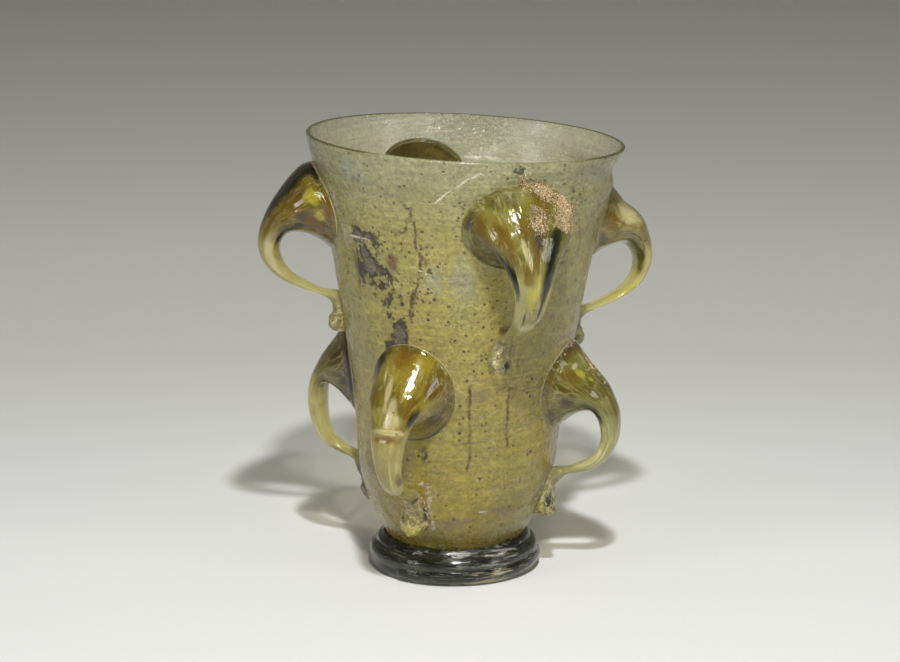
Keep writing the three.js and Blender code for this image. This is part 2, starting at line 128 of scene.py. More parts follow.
def onWall(azimuth, out, z):
    # A point at a distance out of the wall, before it is settled
    r = wallRadius(z) + swell(azimuth, z) + out
    a = np.radians(azimuth)
    return np.stack([r * np.sin(a), -r * np.cos(a), z + 0 * r], -1)


def addMesh(name, points, faces, fields, material):
    mesh = bpy.data.meshes.new(name)
    mesh.from_pydata((np.asarray(points) * mm).tolist(), [], faces)
    mesh.validate()
    mesh.polygons.foreach_set("use_smooth", [True] * len(mesh.polygons))
    for key, values in (fields or {}).items():
        values = np.asarray(values, np.float32)
        kind, slot = ("FLOAT_VECTOR", "vector") if values.ndim > 1 else ("FLOAT", "value")
        mesh.attributes.new(key, kind, "POINT").data.foreach_set(slot, values.ravel())
    piece = bpy.data.objects.new(name, mesh)
    bpy.context.scene.collection.objects.link(piece)
    mesh.materials.append(material)
    return piece


def facesOut(points, faces):
    # Turns all faces round together if the closed skin is inside out
    p = np.asarray(points)
    tris = [(f[0], f[k], f[k + 1]) for f in faces for k in range(1, len(f) - 1)]
    t = p[np.array(tris)]
    volume = np.einsum("ij,ij->i", t[:, 0], np.cross(t[:, 1], t[:, 2])).sum()
    return faces if volume > 0 else [tuple(reversed(f)) for f in faces]


# The two rows of claws: sizes in millimetres, then how each claw differs from its row
upperRow = {
    "seatZ": 140, "mouthWidth": 16.5, "mouthHeight": 11.1, "land": 4.4, "reach": 28, "drop": 34,
    "bulbWidth": 17.6, "trunkWidth": 6.8, "glass": 2, "tailLength": 14, "tailThick": 5.6, "tailWidth": 4.4,
}
lowerRow = {
    "seatZ": 76.9, "mouthWidth": 13.1, "mouthHeight": 14.4, "land": 4.7, "reach": 24.2, "drop": 37,
    "bulbWidth": 15.4, "trunkWidth": 6.4, "glass": 2, "tailLength": 17, "tailThick": 5.6, "tailWidth": 5,
}
# azimuth, lift, size, height, reach, drop, sway, tail's sway, how slim, arched and stout, bow
claws = {
    "upper_claw_left": (-104, -0.1, 1, 1, 0.98, 0.98, 0, 0.05, 0, 0, 1, 0),
    "upper_claw_front": (5, 0.05, 1.09, 1, 0.97, 1.24, -0.09, -0.13, 0, 0, 0, -0.11),
    "upper_claw_right": (89, -0.38, 1.03, 1, 0.96, 1.07, -0.1, -0.1, 1, 0, 0, 0),
    "upper_claw_back": (181, 0.16, 1, 1, 1, 1.05, 0.1, -0.1, 0.4, 0, 0.5, 0),
    "lower_claw_front_left": (-44, -0.04, 0.96, 1, 0.94, 1.06, 0, -0.1, 0, 0, 0, 0),
    "lower_claw_front_right": (55, -0.16, 1, 0.84, 1, 0.94, 0.04, 0.06, 0, 0.3, 0.3, 0),
    "lower_claw_back_right": (143, 0.02, 0.98, 1, 0.97, 1.02, -0.06, 0.08, 0.3, 0.4, 0, 0),
    "lower_claw_back_left": (-128, -0.1, 0.97, 1, 0.9, 0.97, 0.04, -0.05, 0, 1, 1.1, 0),
}
# Stations of a claw's outer back and of its belly: reach, rise, drop, tail, tail's thickness.
# What a row leaves out is 0
upperBack = [
    (0, 1), (0.06, 0.97), (0.19, 0.88), (0.37, 0.63), (0.54, 0.33), (0.7, 0.02), (0.84, 0, 0.15),
    (0.95, 0, 0.31), (1, 0, 0.46), (0.98, 0, 0.62), (0.88, 0, 0.76), (0.7, 0, 0.87), (0.47, 0, 0.95),
    (0.25, 0, 1.01), (0.07, 0, 1.01, 0.18, 0.3), (0, 0, 1.01, 0.42, 0.6), (0, 0, 1.01, 0.7, 1),
    (0, 0, 1.01, 0.93, 0.86),
]
upperBelly = [
    (0, -1), (0.05, -0.96), (0.11, -0.86), (0.22, -0.74), (0.34, -0.66), (0.46, -0.64), (0.59, 0, 0.33),
    (0.7, 0, 0.41), (0.76, 0, 0.51), (0.76, 0, 0.62), (0.69, 0, 0.72), (0.55, 0, 0.81), (0.38, 0, 0.88),
    (0.21, 0, 0.94), (-0.01, 0, 0.98, 0, -0.15), (0, 0, 1, 0.4, -0.3), (0, 0, 1, 0.72, -0.3),
    (0, 0, 1, 0.96, -0.3),
]
lowerBack = [
    (0, 1), (0.06, 0.95), (0.17, 0.78), (0.33, 0.55), (0.5, 0.32), (0.68, 0.07), (0.85, 0, 0.13),
    (0.96, 0, 0.3), (1, 0, 0.48), (0.97, 0, 0.65), (0.85, 0, 0.82), (0.66, 0, 0.93), (0.45, 0, 0.99),
    (0.26, 0, 1.03), (0.08, 0, 1.04, 0.16, 0.4), (0, 0, 1.04, 0.4, 0.6), (0, 0, 1.04, 0.7, 1),
    (0, 0, 1.04, 0.93, 0.9),
]
lowerBelly = [
    (0, -1), (0.05, -0.97), (0.08, -0.9), (0.16, -0.82), (0.27, -0.7), (0.4, -0.62), (0.52, -0.6),
    (0.63, 0, 0.36), (0.71, 0, 0.47), (0.74, 0, 0.6), (0.68, 0, 0.74), (0.55, 0, 0.83), (0.39, 0, 0.88),
    (0.23, 0, 0.93), (0, 0, 0.98, 0, -0.15), (0, 0, 1.02, 0.38, -0.3), (0, 0, 1.02, 0.7, -0.3),
    (0, 0, 1.02, 0.96, -0.3),
]
# First station and shares by which a slim claw's back sinks, an arched one's belly rises
# and a stout one's belly is drawn in
slims = {"upper": (1, (0.07, 0.2, 0.24, 0.11, 0.02)), "lower": (1, (0.05, 0.12, 0.12, 0.06))}
arches = {"upper": (3, ()), "lower": (3, (0.03, 0.08, 0.14, 0.2, 0.2, 0.12, 0.04))}
stouts = {"upper": (6, (0.02, 0.05, 0.07, 0.08, 0.07, 0.05, 0.03)), "lower": (8, (0.05, 0.07, 0.06, 0.04))}
# Half width at each station, from the seat's, the bulb's, the trunk's and the tail's
halfWidths = [
    (1, 0, 0, 0), (0.97, 0, 0, 0), (0.3, 0.68, 0, 0), (0, 0.96, 0, 0), (0, 0.88, 0, 0), (0, 0.76, 0, 0),
    (0, 0.4, 0.45, 0), (0, 0.12, 0.92, 0), (0, 0, 1, 0), (0, 0, 0.86, 0), (0, 0, 0.74, 0), (0, 0, 0.65, 0),
    (0, 0, 0.57, 0), (0, 0, 0.52, 0), (0, 0, 0, 0.76), (0, 0, 0, 0.95), (0, 0, 0, 1), (0, 0, 0, 0.62),
]


def clawPlan(name):
    azimuth, lift, size, height, reach, drop, sway, tailSway, slim, arch, stout, bow = claws[name]
    kind = name.split("_")[0]
    row = upperRow if kind == "upper" else lowerRow
    mouthWidth, mouthHeight = row["mouthWidth"] * size, row["mouthHeight"] * size * height
    seatWidth, seatHeight = mouthWidth + row["land"], mouthHeight + row["land"]
    seatZ = row["seatZ"] + seatHeight * lift
    reach, drop = row["reach"] * reach, row["drop"] * drop
    back, belly = [np.array([s + (0,) * (5 - len(s)) for s in table], float)
                   for table in ((upperBack, upperBelly) if kind == "upper" else (lowerBack, lowerBelly))]
    for table, share, (first, steps), column, way in (
            (back, slim, slims[kind], 1, -1), (belly, arch, arches[kind], 1, 1),
            (belly, stout, stouts[kind], 0, -1)):
        table[first:first + len(steps), column] += way * share * np.array(steps)

    def stations(table):
        return [(reach * s[0] + row["tailThick"] * s[4],
                 seatZ + seatHeight * s[1] - drop * s[2] - row["tailLength"] * s[3]) for s in table]

    widths = [seatWidth * s + row["bulbWidth"] * size * b + row["trunkWidth"] * t + row["tailWidth"] * e
              for s, b, t, e in halfWidths]
    return {
        "azimuth": azimuth, "seatZ": seatZ, "mouthWidth": mouthWidth, "mouthHeight": mouthHeight,
        "glass": row["glass"], "sway": reach * sway, "tailSway": reach * tailSway, "bow": reach * bow,
        "back": stations(back), "belly": stations(belly), "widths": widths,
    }


plans = {name: clawPlan(name) for name in claws}

# Marks on the wall: azimuth and height of the middle, half width, half height, turn in degrees
wallMarks = {
    "stain": [
        (-66.5, 132.5, 3.4, 4.2, 20), (-60, 133.6, 3.6, 2, -10), (-56.5, 131, 1.6, 3, 0),
        (-64, 127, 3, 3.4, 0), (-61.5, 122.5, 4.6, 4.4, 10), (-67, 119.6, 2, 5, 8),
        (-62, 116.6, 3.6, 1.8, -20), (-54.5, 121.4, 3, 2, -10), (-51.2, 118.6, 1.8, 2.2, 0),
        (-56, 115.6, 2.4, 1.6, 15), (-60, 111.5, 1, 1, 0), (-52.3, 110.7, 1.3, 4, -28),
        (-54.4, 108.6, 1.1, 1.5, 0), (-46.4, 112.9, 1.2, 1.1, 0), (-45.3, 110, 1.1, 1, 0),
        (-53.2, 104.9, 1.3, 1.2, 0), (-39.8, 110.6, 1, 1.1, 0), (-41.4, 106.4, 1.3, 0.8, 15),
        (-39.8, 113.4, 0.8, 1.6, -15), (-48.2, 98, 3.6, 6, -14), (-53, 93.6, 3, 1.8, 20),
        (0.7, 162.3, 2.4, 1.5, 15), (-36.3, 52.7, 1.5, 2.6, 0), (-17, 62, 0.8, 0.8, 0),
    ],
    "red": [
        (3, 100.5, 2.6, 2.6, 0), (26, 153.5, 0.9, 1.8, -10), (-70.6, 122, 1, 8, 0), (-49.1, 125, 2.2, 3.4, 0),
    ],
    "bloom": [
        (54.6, 124, 1.6, 8, 0), (53, 112, 1.4, 7, 6), (46, 133, 2, 6, 20), (-20, 25, 7, 2.4, 10),
        (10, 30, 9, 2, -8), (-35.5, 53, 1, 2, 0), (-47, 50.6, 1.4, 2.6, 0), (-8, 76, 5, 3, 0),
        (-30, 92, 3, 2.6, 0),
    ],
    "flake": [
        (57, 43.5, 1.8, 5, -14), (50, 38, 2, 5.4, -30), (45.4, 30.5, 1.8, 6, -24),
        (-36.6, 40.6, 3.4, 0.9, -22), (-35, 33, 0.8, 6, -6), (-33.6, 26, 0.6, 5.4, 4),
        (-79.6, 145, 1.8, 9, 25), (-76, 133, 1.6, 7, 4), (60, 60, 1.6, 9, 0),
    ],
    "pitZone": [
        (-44, 124, 15, 18, 0), (-38, 108, 11, 12, 0), (-22, 104, 11, 9, 0), (-6, 90, 9, 8, 0),
        (22, 74, 8, 8, 0), (36, 152, 8, 9, 0), (-58, 142, 9, 8, 0),
    ],
    # glint patches on the inside get sharper gloss, a strong bump and painted sparkles
    "glint": [(158, 160, 12, 7, 0), (166, 152, 7, 4, 0), (-92, 160, 3, 3, 0)],
    "sheen": [
        (-65, 158, 5, 4, 0), (-59, 156, 4, 4, 0), (-18, 120, 5, 9, 10), (-30, 120, 4, 6, 0),
        (-4, 132, 6, 8, 0),
    ],
    "crust": [
        (2.5, 158.3, 3.4, 2, -10), (10, 154.8, 5.4, 3.2, -20), (17, 149.6, 6, 4.4, -25), (25.5, 146, 5, 3, 0),
        (27, 140.6, 2.8, 4.6, 0), (14.5, 145, 4, 5, 0),
    ],
}
# Drawn lines, each a run of azimuths and heights
wallLines = {
    "crack": [
        [(-43.6, 148.8), (-40.9, 146.7), (-39, 145.3), (-38, 142.3), (-37.2, 136.2), (-37.9, 132.3),
         (-35.6, 127.9), (-36.8, 122.4), (-37.6, 117.7), (-40.7, 112.8), (-42.1, 106.5)],
        [(-38.5, 146.1), (-40.5, 141.8), (-41.7, 137.8), (-46.4, 135.5)],
        [(-36.4, 130), (-33.6, 126.5), (-32.4, 123)],
        [(-12.9, 80.3), (-12.6, 74.8), (-12.8, 70.1), (-11.8, 63), (-12, 57.1), (-11.2, 52), (-12.6, 47.3)],
        [(8.3, 78.4), (7.8, 73.8), (8.7, 67.8), (9.1, 61.9), (9.9, 55.9)],
        [(-68.5, 128), (-69.5, 121), (-70, 114)],
        [(33.6, 140), (36, 137.6), (37, 135)],
    ],
    "scratch": [
        [(-29.8, 148.9), (-27.1, 150.9), (-21.7, 155.3), (-16.4, 159.1), (-12.3, 161.3)],
        [(-29.4, 148.9), (-29.6, 144.7)],
        [(-39.8, 124.5), (-34.2, 122.5), (-30.3, 119.6)],
        [(-71.7, 132.2), (-63.8, 132.7), (-58.3, 131.8)],
        [(-71, 130.6), (-64, 130.4)],
        [(-52.6, 119.8), (-50.8, 116)],
        [(-4, 29.9), (6, 29.2)],
    ],
}


def onlyUsed(count, faces):
    # The points that faces use, and the faces numbered anew
    used = np.unique(np.concatenate([np.array(f) for f in faces]))
    lookup = np.full(count, -1)
    lookup[used] = np.arange(len(used))
    return used, [tuple(int(lookup[v]) for v in f) for f in faces]


def turnFrom(azimuth, middle):
    return (azimuth - middle + 180) % 360 - 180


def arcOffset(azimuth, z, middle, height):
    # Distance round the wall and up it from a point, in millimetres
    return np.radians(turnFrom(azimuth, middle)) * wallRadius(z), z - height


def patchField(azimuth, z, patches):
    # Above 0 inside the patches and falling off outside them
    field = np.full(np.shape(azimuth), -3.0)
    for middle, height, halfWidth, halfHeight, turn in patches:
        u, v = arcOffset(azimuth, z, middle, height)
        c, s = math.cos(math.radians(turn)), math.sin(math.radians(turn))
        away = np.hypot((u * c + v * s) / halfWidth, (v * c - u * s) / halfHeight)
        field = np.maximum(field, (1 - away) * min(halfWidth, halfHeight) / 2)
    return field


def lineField(azimuth, z, lines, far=6.0):
    # Distance to the nearest of some drawn lines, in millimetres
    field = np.full(np.shape(azimuth), far)
    for line in lines:
        for (a0, z0), (a1, z1) in zip(line, line[1:]):
            u, v = arcOffset(azimuth, z, a0, z0)
            du, dv = arcOffset(np.array(float(a1)), np.array(float(z1)), a0, z0)
            t = np.clip((u * du + v * dv) / (du**2 + dv**2), 0, 1)
            field = np.minimum(field, np.hypot(u - t * du, v - t * dv))
    return field


print("stage: shapes planned")

bodyGrid = {
    "columns": 288, "rows": 132, "undersideRows": 12, "holeShare": 0.72, "reachShare": 1.75, "innerMouth": 1.3,
    "rimRows": 6, "lipHeight": 0.8, "lipBulge": 1.12, "floorFade": 0.25, "throatSteps": (0.3, 0.65),
    "throatWaist": 0.05, "blockEdge": 0.999,
}
# What the attribute called inside says of each part of the wall
insideOf = {"outer": 0.0, "lip": 0.5, "throat": 0.6, "inner": 1.0}


def buildBody(material):
    g = bodyGrid
    columns, rows = g["columns"], g["rows"]
    azimuth = np.arange(columns) * 360 / columns - 180
    height = np.linspace(neckZ, vessel["height"] - vessel["rimWall"] / 2, rows)
    step = height[1] - height[0]
    baseA, baseZ = np.meshgrid(azimuth, height)
    maps, holes, throats = {}, np.zeros((rows, columns), bool), []
    for skin, wider in (("outer", 0.0), ("inner", g["innerMouth"])):
        a, z = baseA.copy(), baseZ.copy()
        for plan in plans.values():
            radius = wallRadius(plan["seatZ"])
            halfA = math.degrees((plan["mouthWidth"] + wider) / radius)
            halfZ = plan["mouthHeight"] + wider
            kA = max(3, round(g["holeShare"] * math.degrees(plan["mouthWidth"] / radius) * columns / 360))
            kZ = max(3, round(g["holeShare"] * plan["mouthHeight"] / step))
            cA = round((plan["azimuth"] + 180) * columns / 360) % columns
            cZ = round((plan["seatZ"] - neckZ) / step)
            i = (np.arange(columns) - cA + columns // 2) % columns - columns // 2
            dA, dZ = np.meshgrid(i / kA, (np.arange(rows) - cZ) / kZ)
            ring = np.maximum(np.abs(dA), np.abs(dZ))
            safe = np.maximum(ring, 1e-6)
            x, y = dA / safe, dZ / safe
            discX, discY = x * np.sqrt(1 - y * y / 2), y * np.sqrt(1 - x * x / 2)
            grow = 1 + (ring - 1) * g["holeShare"]
            near = (ring >= g["blockEdge"]) & (ring < g["reachShare"])
            blend = smooth(1, g["reachShare"], ring)
            newTurn = halfA * discX * grow * (1 - blend) + turnFrom(baseA, plan["azimuth"]) * blend
            newZ = (plan["seatZ"] + halfZ * discY * grow) * (1 - blend) + baseZ * blend
            a = np.where(near, plan["azimuth"] + newTurn, a)
            z = np.where(near, newZ, z)
            if skin == "outer":
                holes |= ring < g["blockEdge"]
                loop = [(cZ - kZ, cA + k) for k in range(-kA, kA)]
                loop += [(cZ + k, cA + kA) for k in range(-kZ, kZ)]
                loop += [(cZ + kZ, cA + k) for k in range(kA, -kA, -1)]
                loop += [(cZ + k, cA - kA) for k in range(kZ, -kZ, -1)]
                throats.append([(r, c % columns) for r, c in loop])
        maps[skin] = (a, z)
    share = (baseZ - neckZ) / (vessel["height"] - neckZ)
    low = vessel["floor"] + (vessel["wall"] - vessel["floor"]) * np.minimum(share / g["floorFade"], 1)
    thick = low + (vessel["rimWall"] - low) * share**3

    def skinPoints(a, z, depth):
        tilt = np.arctan(wallRadius(z + 0.5) - wallRadius(z - 0.5))
        p = onWall(a, -depth * np.cos(tilt), z)
        p[..., 2] = z + depth * np.sin(tilt)
        return p

    points, fieldA, fieldZ, inside = [], [], [], []

    def addRow(p, a, z, part):
        first = sum(len(q) for q in points)
        points.append(p.reshape(-1, 3))
        for known, values in ((fieldA, a), (fieldZ, z), (inside, insideOf[part])):
            known.append(np.broadcast_to(values, p.shape[:-1]).ravel())
        return first

    def ringOf(r, z):
        t = np.radians(azimuth)
        return np.stack([r * np.sin(t), -r * np.cos(t), z + 0 * t], -1)

    rings = []
    stations = np.linspace(0, len(undersideOutline) - 1, g["undersideRows"] + 1).astype(int)
    under = undersideOutline[stations]
    outerPole = addRow(np.array([[0, 0, under[0, 1]]]), 0.0, 0.0, "outer")
    for r, z in under[1:-1]:
        rings.append(addRow(ringOf(r, z), azimuth, z, "outer"))
    a, z = maps["outer"]
    first = addRow(skinPoints(a, z, 0), a, z, "outer")
    outerRows = [first + k * columns for k in range(rows)]
    rings += outerRows
    outerLip, innerLip = skinPoints(a[-1:], z[-1:], 0)[0], skinPoints(a[-1:], z[-1:], thick[-1:])[0]
    middle, across = (outerLip + innerLip) / 2, (outerLip - innerLip) / 2
    for k in range(1, g["rimRows"]):
        t = math.pi * k / g["rimRows"]
        lip = middle + across * math.cos(t) * g["lipBulge"]
        lip[:, 2] += vessel["rimWall"] / 2 * g["lipHeight"] * math.sin(t)
        rings.append(addRow(lip, azimuth, vessel["height"], "lip"))
    a, z = maps["inner"]
    first = addRow(skinPoints(a, z, thick), a, z, "inner")
    innerRows = [first + k * columns for k in range(rows)]
    rings += innerRows[::-1]
    for k in range(len(under) - 2, 0, -1):
        along = under[k + 1] - under[k - 1]
        normal = np.array([along[1], -along[0]]) / np.hypot(*along)
        r, z0 = under[k] - vessel["floor"] * normal
        rings.append(addRow(ringOf(max(r, 0.5), z0), azimuth, z0, "inner"))
    innerPole = addRow(np.array([[0, 0, under[0, 1] + vessel["floor"]]]), 0.0, 0.0, "inner")
    outerHole = {outerRows[r] + c for r, c in zip(*np.nonzero(holes))}
    innerHole = {innerRows[r] + c for r, c in zip(*np.nonzero(holes))}
    gone = outerHole | innerHole
    faces = []
    for lowRing, highRing in zip(rings, rings[1:]):
        for c in range(columns):
            n = (c + 1) % columns
            face = (lowRing + c, lowRing + n, highRing + n, highRing + c)
            if not gone.intersection(face):
                faces.append(face)
    for c in range(columns):
        n = (c + 1) % columns
        faces.append((outerPole, rings[0] + n, rings[0] + c))
        faces.append((rings[-1] + c, rings[-1] + n, innerPole))
    for plan, loop in zip(plans.values(), throats):
        # Blocks of faces are cut square, then the throat runs from the outer to the inner edge
        size = len(loop)
        outerEdge = [outerRows[r] + c for r, c in loop]
        innerEdge = [innerRows[r] + c for r, c in loop]
        allPoints = np.concatenate(points)
        outerP, innerP = allPoints[outerEdge], allPoints[innerEdge]
        edges = [outerEdge]
        for k in g["throatSteps"]:
            p = outerP + (innerP - outerP) * k
            centre = p.mean(0)
            p = centre + (p - centre) * (1 - g["throatWaist"] * math.sin(math.pi * k))
            start = addRow(p, plan["azimuth"], plan["seatZ"], "throat")
            edges.append(range(start, start + size))
        edges.append(innerEdge)
        for e0, e1 in zip(edges, edges[1:]):
            for i in range(size):
                j = (i + 1) % size
                faces.append((e0[j], e0[i], e1[i], e1[j]))
    p = np.concatenate(points)
    used, faces = onlyUsed(len(p), faces)
    p = settle(p[used])
    fa, fz, fi = [np.concatenate(values)[used] for values in (fieldA, fieldZ, inside)]
    fields = {"inside": fi, "level": fz, "azimuth": fa}
    outer = fi < insideOf["lip"]
    for kind, patches in wallMarks.items():
        where = {"glint": ~outer, "red": True}.get(kind, outer)
        fields[kind] = np.where(where, patchField(fa, fz, patches), -3)
    for kind, drawn in wallLines.items():
        fields[kind] = np.where(outer, lineField(fa, fz, drawn), 6)
    return addMesh("blownBody", p, facesOut(p, faces), fields, material)


clawGrid = {
    "sides": 96, "rings": 190, "hollowRings": 40, "hollowStart": 0.06, "hollowEnd": 0.5, "hollowThicken": 0.9,
    "swayFrom": 0.24, "grooveFrom": 0.12, "grooveFull": 0.4, "grooveDepth": 0.7,
    "mouthBlend": 0.12, "hollowClose": 0.82, "contact": 0.06, "land": 0.8, "tailStart": 0.83, "tailFull": 0.9,
    "tailWork": 0.32, "flowLength": 90, "soilReach": 16,
}
# Grooves between soft lobes: depth, count, twist and turn. Coloured patches: share along the claw, turn
# round it in degrees (0 on the outer back, 90 towards higher azimuths), half length, half turn.
# Dark patches are partly dark glass and partly painted shade on inner and under edges; pale patches are
# partly pale weathering and partly painted highlights; lime patches are yellow glass, two of them painted
# glints.
# Dents and swells have the same places and a height in millimetres.
clawLooks = {
    "upper_claw_left": {
        "finish": "amber", "groove": 0.03, "lobes": 2, "twist": 0.6, "turn": 0.2,
        # The dark patches near 110 to 120 round are painted shade on the underside edge
        "dark": [
            (0.2, 12, 0.24, 36), (0.05, 24, 0.06, 30), (0.34, 120, 0.12, 20), (0.26, 112, 0.05, 12),
            (0.3, -40, 0.2, 30),
        ],
        "honey": [(0.06, 84, 0.05, 22), (0.21, 62, 0.06, 14), (0.17, 112, 0.06, 22), (0.35, 52, 0.08, 12)],
        "lime": [(0.13, 66, 0.045, 15), (0.13, 96, 0.03, 10)],
        "plum": [(0.21, 92, 0.04, 12), (0.12, -60, 0.05, 20)],
        "pale": [(0.5, 80, 0.12, 30)],
        "soil": [(0.012, 30, 0.012, 50)],
        "dents": [(0.15, 47, 0.06, 3, -0.25), (0.3, 70, 0.1, 14, -0.5)],
    },
    "upper_claw_front": {
        "finish": "green", "groove": 0.02, "lobes": 3, "twist": 0.5, "turn": -0.5,
        "dark": [
            (0.36, 34, 0.16, 21), (0.44, 32, 0.09, 23), (0.42, -72, 0.09, 14), (0.36, -84, 0.06, 14),
            (0.05, -166, 0.04, 36), (0.28, -150, 0.14, 22), (0.53, 26, 0.06, 7), (0.57, -30, 0.06, 5),
            (0.94, 10, 0.04, 24),
        ],
        "honey": [
            (0.26, -14, 0.06, 14), (0.29, -50, 0.12, 20), (0.355, 0, 0.06, 10), (0.415, -22, 0.055, 19),
            (0.17, -70, 0.06, 16), (0.25, -84, 0.1, 20), (0.49, 24, 0.03, 14), (0.17, 10, 0.08, 16),
        ],
        "lime": [(0.49, -12, 0.05, 16), (0.45, 6, 0.04, 5)],
        "plum": [
            (0.105, -84, 0.045, 15), (0.3, -106, 0.08, 22), (0.19, -124, 0.1, 28), (0.3, 5, 0.055, 12),
            (0.6, 6, 0.02, 14),
        ],
        # Among the pale patches, the band near -20 round and the thin lines are painted highlights
        "pale": [
            (0.335, -22, 0.045, 6), (0.375, -15, 0.03, 5), (0.37, 6, 0.07, 2.2), (0.31, -51, 0.035, 2.2),
            (0.37, -36, 0.035, 2.2), (0.61, 0, 0.03, 40), (0.86, -24, 0.04, 16), (0.9, 60, 0.05, 16),
        ],
        "soil": [(0.235, 8, 0.06, 15)],
        "dents": [
            (0.4, -10, 0.2, 9, -1), (0.42, -64, 0.15, 9, -0.9), (0.36, -37, 0.16, 12, 0.5),
            (0.38, 32, 0.18, 13, 0.35),
        ],
    },
    "upper_claw_right": {
        "finish": "pale", "groove": 0.04, "lobes": 3, "twist": 0.5, "turn": 0.8,
        "dark": [(0.1, 10, 0.1, 30), (0.4, -128, 0.16, 34), (0.1, -116, 0.06, 12)],
        "honey": [(0.36, -70, 0.03, 8), (0.1, -80, 0.06, 20)],
        "lime": [(0.62, -110, 0.1, 14)],
        "plum": [(0.08, -104, 0.04, 12)],
        "pale": [(0.2, -50, 0.09, 24), (0.5, -50, 0.12, 20), (0.66, -80, 0.08, 6)],
        "dents": [(0.3, -100, 0.15, 14, -0.6)],
    },
    "upper_claw_back": {
        "finish": "amber", "groove": 0.07, "lobes": 3, "twist": 0.9, "turn": 0.1, "lining": 0.16,
        "dark": [(0.2, 20, 0.16, 60), (0.4, 140, 0.1, 30)],
        "honey": [(0.28, -60, 0.14, 40)],
        "plum": [(0.15, 100, 0.05, 20)],
        "pale": [(0.5, 0, 0.1, 30)],
    },
    "lower_claw_front_left": {
        "finish": "golden", "groove": 0.04, "lobes": 3, "twist": 0.4, "turn": 0.3,
        "dark": [
            (0.09, -62, 0.09, 40), (0.335, 66, 0.055, 15), (0.2, -80, 0.1, 18), (0.06, 168, 0.03, 60),
            (0.79, 40, 0.008, 70), (0.88, 90, 0.05, 12), (0.88, -40, 0.04, 10),
        ],
        "honey": [
            (0.12, 0, 0.06, 22), (0.2, 60, 0.05, 16), (0.42, 0, 0.014, 60), (0.25, -45, 0.07, 13),
            (0.3, 42, 0.06, 10), (0.56, 56, 0.03, 26),
        ],
        "lime": [(0.965, 10, 0.04, 70), (0.93, -60, 0.05, 30)],
        "plum": [(0.22, 118, 0.08, 24), (0.57, 66, 0.02, 40), (0.1, -96, 0.05, 20), (0.8, 40, 0.012, 50)],
        # Among the pale patches, the thin streak near 22 round is a painted highlight
        "pale": [
            (0.27, -10, 0.08, 8), (0.33, 6, 0.055, 11), (0.365, 16, 0.03, 24), (0.24, 22, 0.07, 4),
            (0.2, -24, 0.06, 3), (0.397, 12, 0.012, 70), (0.55, 20, 0.09, 6),
        ],
        "soil": [(0.92, 112, 0.09, 18), (0.84, 96, 0.02, 40)],
        "dents": [
            (0.397, 0, 0.011, 80, 0.5), (0.42, 0, 0.013, 90, -0.6), (0.5, 20, 0.1, 40, -0.4),
            (0.9, 100, 0.12, 16, 0.9), (0.96, 20, 0.03, 60, 0.9),
        ],
    },
    "lower_claw_front_right": {
        "finish": "green", "groove": 0.02, "lobes": 2, "twist": 0.7, "turn": 0.6, "soilShare": 0.32,
        "dark": [(0.36, -104, 0.1, 18), (0.43, 34, 0.13, 30), (0.93, -40, 0.05, 50), (0.12, 60, 0.1, 40)],
        "honey": [(0.17, -52, 0.06, 15), (0.08, -10, 0.05, 30), (0.36, -20, 0.09, 9), (0.08, -90, 0.03, 24)],
        # The lime spots near 0.2 along and -30 round are painted glints
        "lime": [(0.19, -35, 0.035, 7), (0.95, -80, 0.03, 30), (0.24, -28, 0.02, 5)],
        "plum": [(0.21, -97, 0.042, 12), (0.108, -127, 0.038, 12), (0.05, 0, 0.04, 50)],
        "pale": [(0.15, -33, 0.015, 9), (0.62, -120, 0.12, 40), (0.6, -70, 0.12, 8)],
        "soil": [(0.2, 0, 0.16, 32), (0.05, -10, 0.05, 60)],
        "dents": [(0.99, -10, 0.05, 60, 2.4), (0.95, 180, 0.05, 60, -0.5), (0.5, -90, 0.1, 20, -0.4)],
    },
    "lower_claw_back_right": {
        "finish": "smoky", "groove": 0.06, "lobes": 3, "twist": 0.8, "turn": 0.4,
        "dark": [(0.16, 30, 0.14, 60)],
        "honey": [(0.3, -60, 0.1, 40)],
        "plum": [(0.1, 120, 0.07, 40)],
        "pale": [(0.5, 0, 0.1, 30)],
    },
    "lower_claw_back_left": {
        "finish": "smoky", "groove": 0.03, "lobes": 2, "twist": 0.6, "turn": 0.9,
        "dark": [(0.05, 100, 0.05, 40), (0.38, 150, 0.05, 22), (0.2, 0, 0.12, 30)],
        "honey": [(0.33, 110, 0.06, 30), (0.7, 80, 0.05, 40)],
        "lime": [(0.45, 60, 0.14, 24)],
        "plum": [(0.06, 60, 0.05, 40), (0.17, 124, 0.07, 18)],
        "pale": [(0.58, 70, 0.07, 9)],
        "dents": [(0.84, 0, 0.08, 60, 1.2)],
    },
}


def spotField(along, turn, spots):
    # 1 in the middle of a patch and falling through 0 at its edge
    field = np.full(np.broadcast(along, turn).shape, -2.0)
    for t, angle, halfLength, halfTurn in spots:
        away = turnFrom(np.degrees(turn), angle) / halfTurn
        field = np.maximum(field, 1 - np.hypot((along - t) / halfLength, away))
    return field


